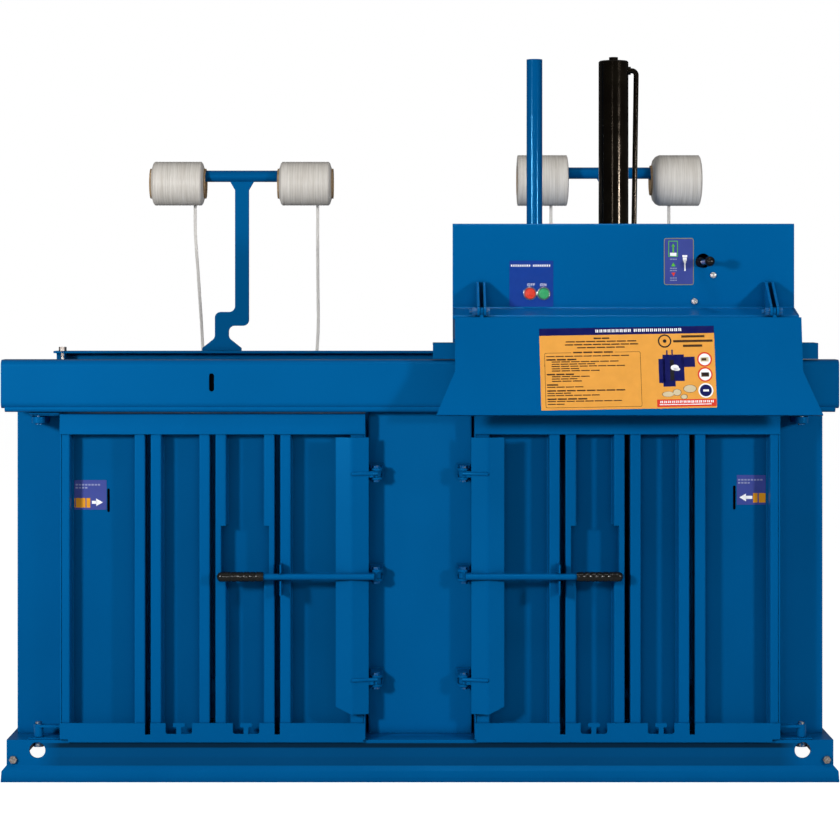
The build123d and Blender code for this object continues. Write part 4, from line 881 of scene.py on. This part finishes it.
fields += [spot(dial_u, dial_v, 0.0045, 3, black),
           at(0.676, 0.395, 0.712, 0.690, 1, navy), at(0.700, 0.345, 0.822, 0.670, 1, navy),
           at(0.700, 0.660, 0.770, 0.735, 1, navy), at(0.806, 0.375, 0.884, 0.500, 1, navy),
           at(0.722, 0.290, 0.730, 0.350, 1, navy), at(0.752, 0.285, 0.760, 0.345, 1, navy),
           at(0.741, 0.410, 0.764, 0.660, 2, black),
           spot(0.768, 0.505, 0.0100, 3, white, squeeze=0.7),
           spot(0.780, 0.525, 0.0080, 3, white, squeeze=0.5)]
for v, rim, heart in ((0.410, red, white), (0.595, red, white), (0.790, white, navy)):
    fields += rings(badge_u, v, 0.0182, 0.0036, rim, heart)
fields += [at(0.917, 0.385, 0.962, 0.437, 4, cream), at(0.922, 0.395, 0.950, 0.425, 5, brown),
           at(0.918, 0.570, 0.962, 0.622, 4, brown), at(0.926, 0.580, 0.956, 0.606, 5, black),
           at(0.925, 0.778, 0.957, 0.802, 4, white)]
for u, v, radius, flat in ((0.725, 0.828, 0.0150, 0.45), (0.776, 0.808, 0.0105, 0.8),
                           (0.850, 0.765, 0.0160, 0.6), (0.815, 0.862, 0.0085, 0.7)):
    fields.append(spot(u, v, radius, 1, brown, squeeze=flat))
    fields.append(spot(u, v, radius - 0.0011, 2, cream, squeeze=flat))
fields += [at(0.660, 0.892, 0.998, 0.982, 1, red)]
for index in range(14):
    u = 0.678 + index * 0.0222
    fields += [at(u, 0.908, u + 0.0060, 0.936, 2, white), at(u + 0.0095, 0.908, u + 0.0155, 0.936, 2, white)]
fields += [at(0.674, 0.950, 0.970, 0.960, 2, white)]
flap_plate = plate("flap_plate", fields)
flap_low_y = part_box("flap")[0].y
flap_foot = Vector((0.5088, flap_low_y, 0.925))
flap_rise = Vector((0, 0.049, 0.238)).normalized()
flap_in = Vector((0, flap_rise.z, -flap_rise.y))
flap_plane = Matrix.Translation(flap_foot + flap_rise * plate_up_flap) @ Matrix(
    ((1, 0, 0, 0), (0, flap_in.y, flap_rise.y, 0), (0, flap_in.z, flap_rise.z, 0), (0, 0, 0, 1)))
settle(flap_plate, flap_plane @ Matrix.Rotation(radians(plate_turn), 4, "Y"), "flap")

# A vinyl plate beside a slot in each door's skin tells when the bale is full. The slot is drawn
# as a dark field of painted shade. Its words are left out: plain bars, orange blocks and a white
# arrow that points to the slot.
# This near black print is painted shade, for slots that look into the dark.
painted_dark = ink("painted_shade_dark", (0.0012, 0.0014, 0.002), 0.9)
painted_dark.node_tree.nodes["Principled BSDF"].inputs["Specular IOR Level"].default_value = 0.0
word_step = 0.0080
word_length = 0.0058
row_half = 0.0020
slot_half = 0.0032
# The side, its hand, the rise over the left plate, the plate's ends, the start of its words, its
# blocks, the arrow's stem and tip, and the slot's middle, foot and head.
bale_plates = (
    ("left", -1, 0.0, (-0.8712, -0.7901), -0.8680,
     ((-0.8708, -0.8690), (-0.8670, -0.8430), (-0.8405, -0.8310)),
     (-0.8267, -0.8150), -0.8105, (-0.785, 0.6705, 0.7297)),
    ("right", 1, 0.0125, (0.7985, 0.8712), 0.8015, ((0.8393, 0.8506), (0.8539, 0.8708)),
     (0.8205, 0.8375), 0.8160, (0.792, 0.6768, 0.7373)))
for side, hand, rise, ends, row_start, blocks, stem, tip, slot in bale_plates:
    fields = [patch(*ends, 0.6763 + rise, 0.7511 + rise, 0, violet)]
    for row_z, length in ((0.7392 + rise, 0.064), (0.7316 + rise, 0.034)):
        for index in range(round(length / word_step)):
            x = row_start + index * word_step
            fields.append(patch(x, x + word_length, row_z - row_half, row_z + row_half, 1, pale_violet))
    for block in blocks:
        fields.append(patch(*block, 0.6818 + rise, 0.7058 + rise, 2, amber))
    fields.append(patch(*stem, 0.6911 + rise, 0.6987 + rise, 2, white))
    fields.append(disc(tip, 0.6949 + rise, 0.0112, 2, white, sides=3, turn=-90 * hand))
    slot_x, slot_low, slot_high = slot
    fields.append(patch(slot_x - slot_half, slot_x + slot_half, slot_low, slot_high, 0, painted_dark, 0.003))
    full_plate = plate(side + "_bale_full_plate", fields)
    settle(full_plate, Matrix.Translation((0, recess_y, 0)), side + "_door")

# Two domed steel screws hold the valve to the panel. They are plated with bright zinc and have
# a round recess.
bright_zinc, tree, shader = new_finish("bright_zinc", (0.80, 0.80, 0.81), 0.30, metallic=1.0)
rough_by(tree, shader, noise(tree, 240.0, 3.0), 0.22, 0.42)
color_by(tree, shader, noise(tree, 160.0), (0.72, 0.72, 0.72), (0.88, 0.88, 0.89))
screw_radius = 0.0077
screw_height = 0.0045
screw_rounding = 0.0016
recess_rim = 0.0030
recess_depth = 0.0012


def stud(name, x, z, radius, low, high, sides, rounding, steps):
    """A round stud with a rounded rim, between two heights over the panel."""
    bpy.ops.object.select_all(action="DESELECT")
    bpy.ops.mesh.primitive_cylinder_add(vertices=sides, radius=radius, depth=high - low,
                                        location=(x, face_y - (low + high) / 2, z),
                                        rotation=(radians(90), 0, 0))
    piece = placed(name)
    pick(piece, "FACE", lambda polygon: polygon.normal.y < -0.9)
    bpy.ops.mesh.bevel(offset=rounding, segments=steps, affect="EDGES")
    bpy.ops.object.mode_set(mode="OBJECT")
    return piece


for index, (x, z) in enumerate(((0.7328, 1.2670), (0.6860, 1.2015))):
    screw = stud(f"panel_screw_{index + 1}", x, z, screw_radius, 0, screw_height, 28, screw_rounding, 3)
    pick(screw, "FACE", lambda polygon: polygon.normal.y < -0.99)
    bpy.ops.mesh.inset(thickness=recess_rim, depth=-recess_depth)
    bpy.ops.object.mode_set(mode="OBJECT")
    bpy.ops.object.shade_smooth_by_angle(angle=radians(40))
    screw.data.materials.append(bright_zinc)
    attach(screw, "head")

# The push buttons are flat moulded caps with a rounded rim, each in a bright turned ring that
# is pressed onto the panel.
button_z = 1.2210
cap_radius = 0.0133
cap_foot = 0.0050
cap_top = 0.0080
cap_rounding = 0.0014
ring_radius = 0.0153
ring_wire = 0.0016
button_places = (("off", 0.2750), ("on", 0.3090))
for word, button_x in button_places:
    cap = stud(word + "_cap", button_x, button_z, cap_radius, cap_foot, cap_top, 48, cap_rounding, 4)
    bpy.ops.object.shade_smooth_by_angle(angle=radians(40))
    cap.data.materials.append(button_skins[slot_of[word + "_button"]])
    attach(cap, word + "_button")
    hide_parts(word + "_button")
bezel_rings = []
for word, button_x in button_places:
    bpy.ops.object.select_all(action="DESELECT")
    bpy.ops.mesh.primitive_torus_add(major_segments=56, minor_segments=16, major_radius=ring_radius,
                                     minor_radius=ring_wire, rotation=(radians(90), 0, 0),
                                     location=(button_x, face_y - ring_wire, button_z))
    bezel_rings.append(placed(word + "_ring"))
ring_pair = plate("bezel_rings", bezel_rings)
bpy.ops.object.shade_smooth()
ring_pair.data.materials.append(bright)
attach(ring_pair, "head")
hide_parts("button_bezels")

# The valve's lever leaves the panel through a boot of pleated black rubber, pushed over the
# valve's neck. The boot is turned here from its side line, as pairs of height and radius.
lever_x = 0.7012
lever_z = 1.2992
boot_line = [(0.0, 0.0122), (0.0030, 0.0122), (0.0045, 0.0103), (0.0065, 0.0113), (0.0085, 0.0096),
             (0.0105, 0.0104), (0.0130, 0.0087), (0.0155, 0.0094), (0.0185, 0.0075), (0.0215, 0.0080),
             (0.0250, 0.0060)]
bpy.ops.object.select_all(action="DESELECT")
bpy.ops.mesh.primitive_circle_add(vertices=40, radius=boot_line[0][1], fill_type="NGON",
                                  location=(lever_x, face_y, lever_z), rotation=(radians(90), 0, 0))
boot = placed("lever_boot")
bpy.ops.object.mode_set(mode="EDIT")
bpy.ops.mesh.select_all(action="SELECT")
for before, after in zip(boot_line, boot_line[1:]):
    bpy.ops.mesh.extrude_region_move(TRANSFORM_OT_translate={"value": (0, before[0] - after[0], 0)})
    shrink = after[1] / before[1]
    bpy.ops.transform.resize(value=(shrink, 1, shrink),
                             center_override=(lever_x, face_y - after[0], lever_z))
outward_and_smooth(35)
boot.data.materials.append(moulded)
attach(boot, "head")
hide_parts("valve_collar")

# The lever is a bright turned pin, screwed into the valve through the boot. A black moulded
# ball is pushed onto its end.
knob_place = Vector((0.7178, face_y - 0.0560, 1.3010))
knob_radius = 0.0125
stem_radius = 0.0056
stem_foot = Vector((lever_x, face_y - 0.0200, lever_z))


def round_bar(name, start, end, radius, sides):
    """A round bar from one point to another."""
    line = end - start
    bpy.ops.object.select_all(action="DESELECT")
    bpy.ops.mesh.primitive_cylinder_add(vertices=sides, radius=radius, depth=line.length,
                                        location=(start + end) / 2,
                                        rotation=line.to_track_quat("Z", "Y").to_euler())
    return placed(name)


bpy.ops.object.select_all(action="DESELECT")
bpy.ops.mesh.primitive_uv_sphere_add(segments=40, ring_count=24, radius=knob_radius, location=knob_place)
knob = placed("lever_knob")
bpy.ops.object.shade_smooth()
knob.data.materials.append(moulded)
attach(knob, "valve_lever")
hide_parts("valve_lever")
stem = round_bar("lever_stem", stem_foot, knob_place, stem_radius, 28)
bpy.ops.object.shade_smooth_by_angle(angle=radians(35))
stem.data.materials.append(bright)
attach(stem, "valve_lever")

# The front rail is folded sheet, and its lower edge is rolled to a round hem. The hem closes
# most of the gap over the doors.
hem_radius = 0.0085
hem_length = 2.07
hem_z = 0.9342
bpy.ops.object.select_all(action="DESELECT")
bpy.ops.mesh.primitive_cylinder_add(vertices=40, radius=hem_radius, depth=hem_length,
                                    location=(0, face_y - 0.0135, hem_z), rotation=(0, radians(90), 0))
hem = placed("rail_hem")
bpy.ops.object.shade_smooth_by_angle(angle=radians(40))
hem.data.materials.append(enamel)
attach(hem, "root")

# The slot in the front rail is cut through the sheet and looks into the dark of the closed
# channel. A dark field of painted shade close behind it stands for that dark.
slot_shade_field = patch(-0.531, -0.512, 0.972, 1.028, 0, painted_dark)
slot_shade_field.name = "rail_slot_shade"
settle(slot_shade_field, Matrix.Translation((0, face_y - 0.017, 0)), "root")

# A short round steel bar is welded over each end of a lock plate and runs into its eye. Its
# ends are rounded off.
bar_radius = 0.0048
bar_rounding = 0.0030
for side, hand in (("left", -1), ("right", 1)):
    for level_name, bar_z in (("upper", 0.7716), ("lower", 0.2570)):
        start = Vector((hand * 0.1710, face_y - 0.0226, bar_z))
        end = Vector((hand * 0.1045, face_y - 0.0040, bar_z))
        along = (end - start).normalized()
        eye_bar = round_bar(f"{side}_{level_name}_eye_bar", start, end, bar_radius, 20)
        pick(eye_bar, "FACE", lambda polygon: abs(polygon.normal.dot(along)) > 0.9)
        bpy.ops.mesh.bevel(offset=bar_rounding, segments=3, affect="EDGES")
        outward_and_smooth(40)
        eye_bar.data.materials.append(enamel)
        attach(eye_bar, side + "_lock")

# The leaf of each upper hinge is a flat steel bar, welded to the door's top edge over the head
# of the pin and painted with the door.
leaf_size = (0.076, 0.043, 0.0064)
leaf_rounding = 0.0012
for side, hand in (("left", -1), ("right", 1)):
    bpy.ops.object.select_all(action="DESELECT")
    bpy.ops.mesh.primitive_cube_add(size=1, location=(hand * 0.9395, face_y + 0.0225, 0.9216))
    bpy.context.object.scale = leaf_size
    leaf = placed(side + "_hinge_leaf")
    bpy.ops.object.mode_set(mode="EDIT")
    bpy.ops.mesh.select_all(action="SELECT")
    bpy.ops.mesh.bevel(offset=leaf_rounding, segments=2, affect="EDGES")
    bpy.ops.object.mode_set(mode="OBJECT")
    leaf.data.materials.append(enamel)
    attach(leaf, side + "_door")

# The rear rail's end is held by one bare bolt, its head brown with old zinc. The bolts of the
# base have the same old zinc.
old_zinc, tree, shader = new_finish("old_zinc", (0.42, 0.36, 0.30), 0.36, metallic=0.9)
color_by(tree, shader, noise(tree, 190.0, 3.0), (0.20, 0.14, 0.11), (0.66, 0.62, 0.58))
rough_by(tree, shader, noise(tree, 260.0, 2.0), 0.24, 0.46)
bolt_x = -1.0180
bolt_y = 0.4215
bpy.ops.object.select_all(action="DESELECT")
bpy.ops.mesh.primitive_cylinder_add(vertices=6, radius=0.0112, depth=0.0118,
                                    location=(bolt_x, bolt_y, 1.0621), rotation=(0, 0, radians(30)))
bolt_head = placed("rail_end_bolt")
bpy.ops.mesh.primitive_cylinder_add(vertices=24, radius=0.0062, depth=0.0290,
                                    location=(bolt_x, bolt_y, 1.0358))
end_bolt = plate("rail_end_bolt", [bolt_head, placed("bolt_shank")])
bpy.ops.object.shade_smooth_by_angle(angle=radians(40))
end_bolt.data.materials.append(old_zinc)
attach(end_bolt, "root")
repaint(nodes["base_bolts"], old_zinc)
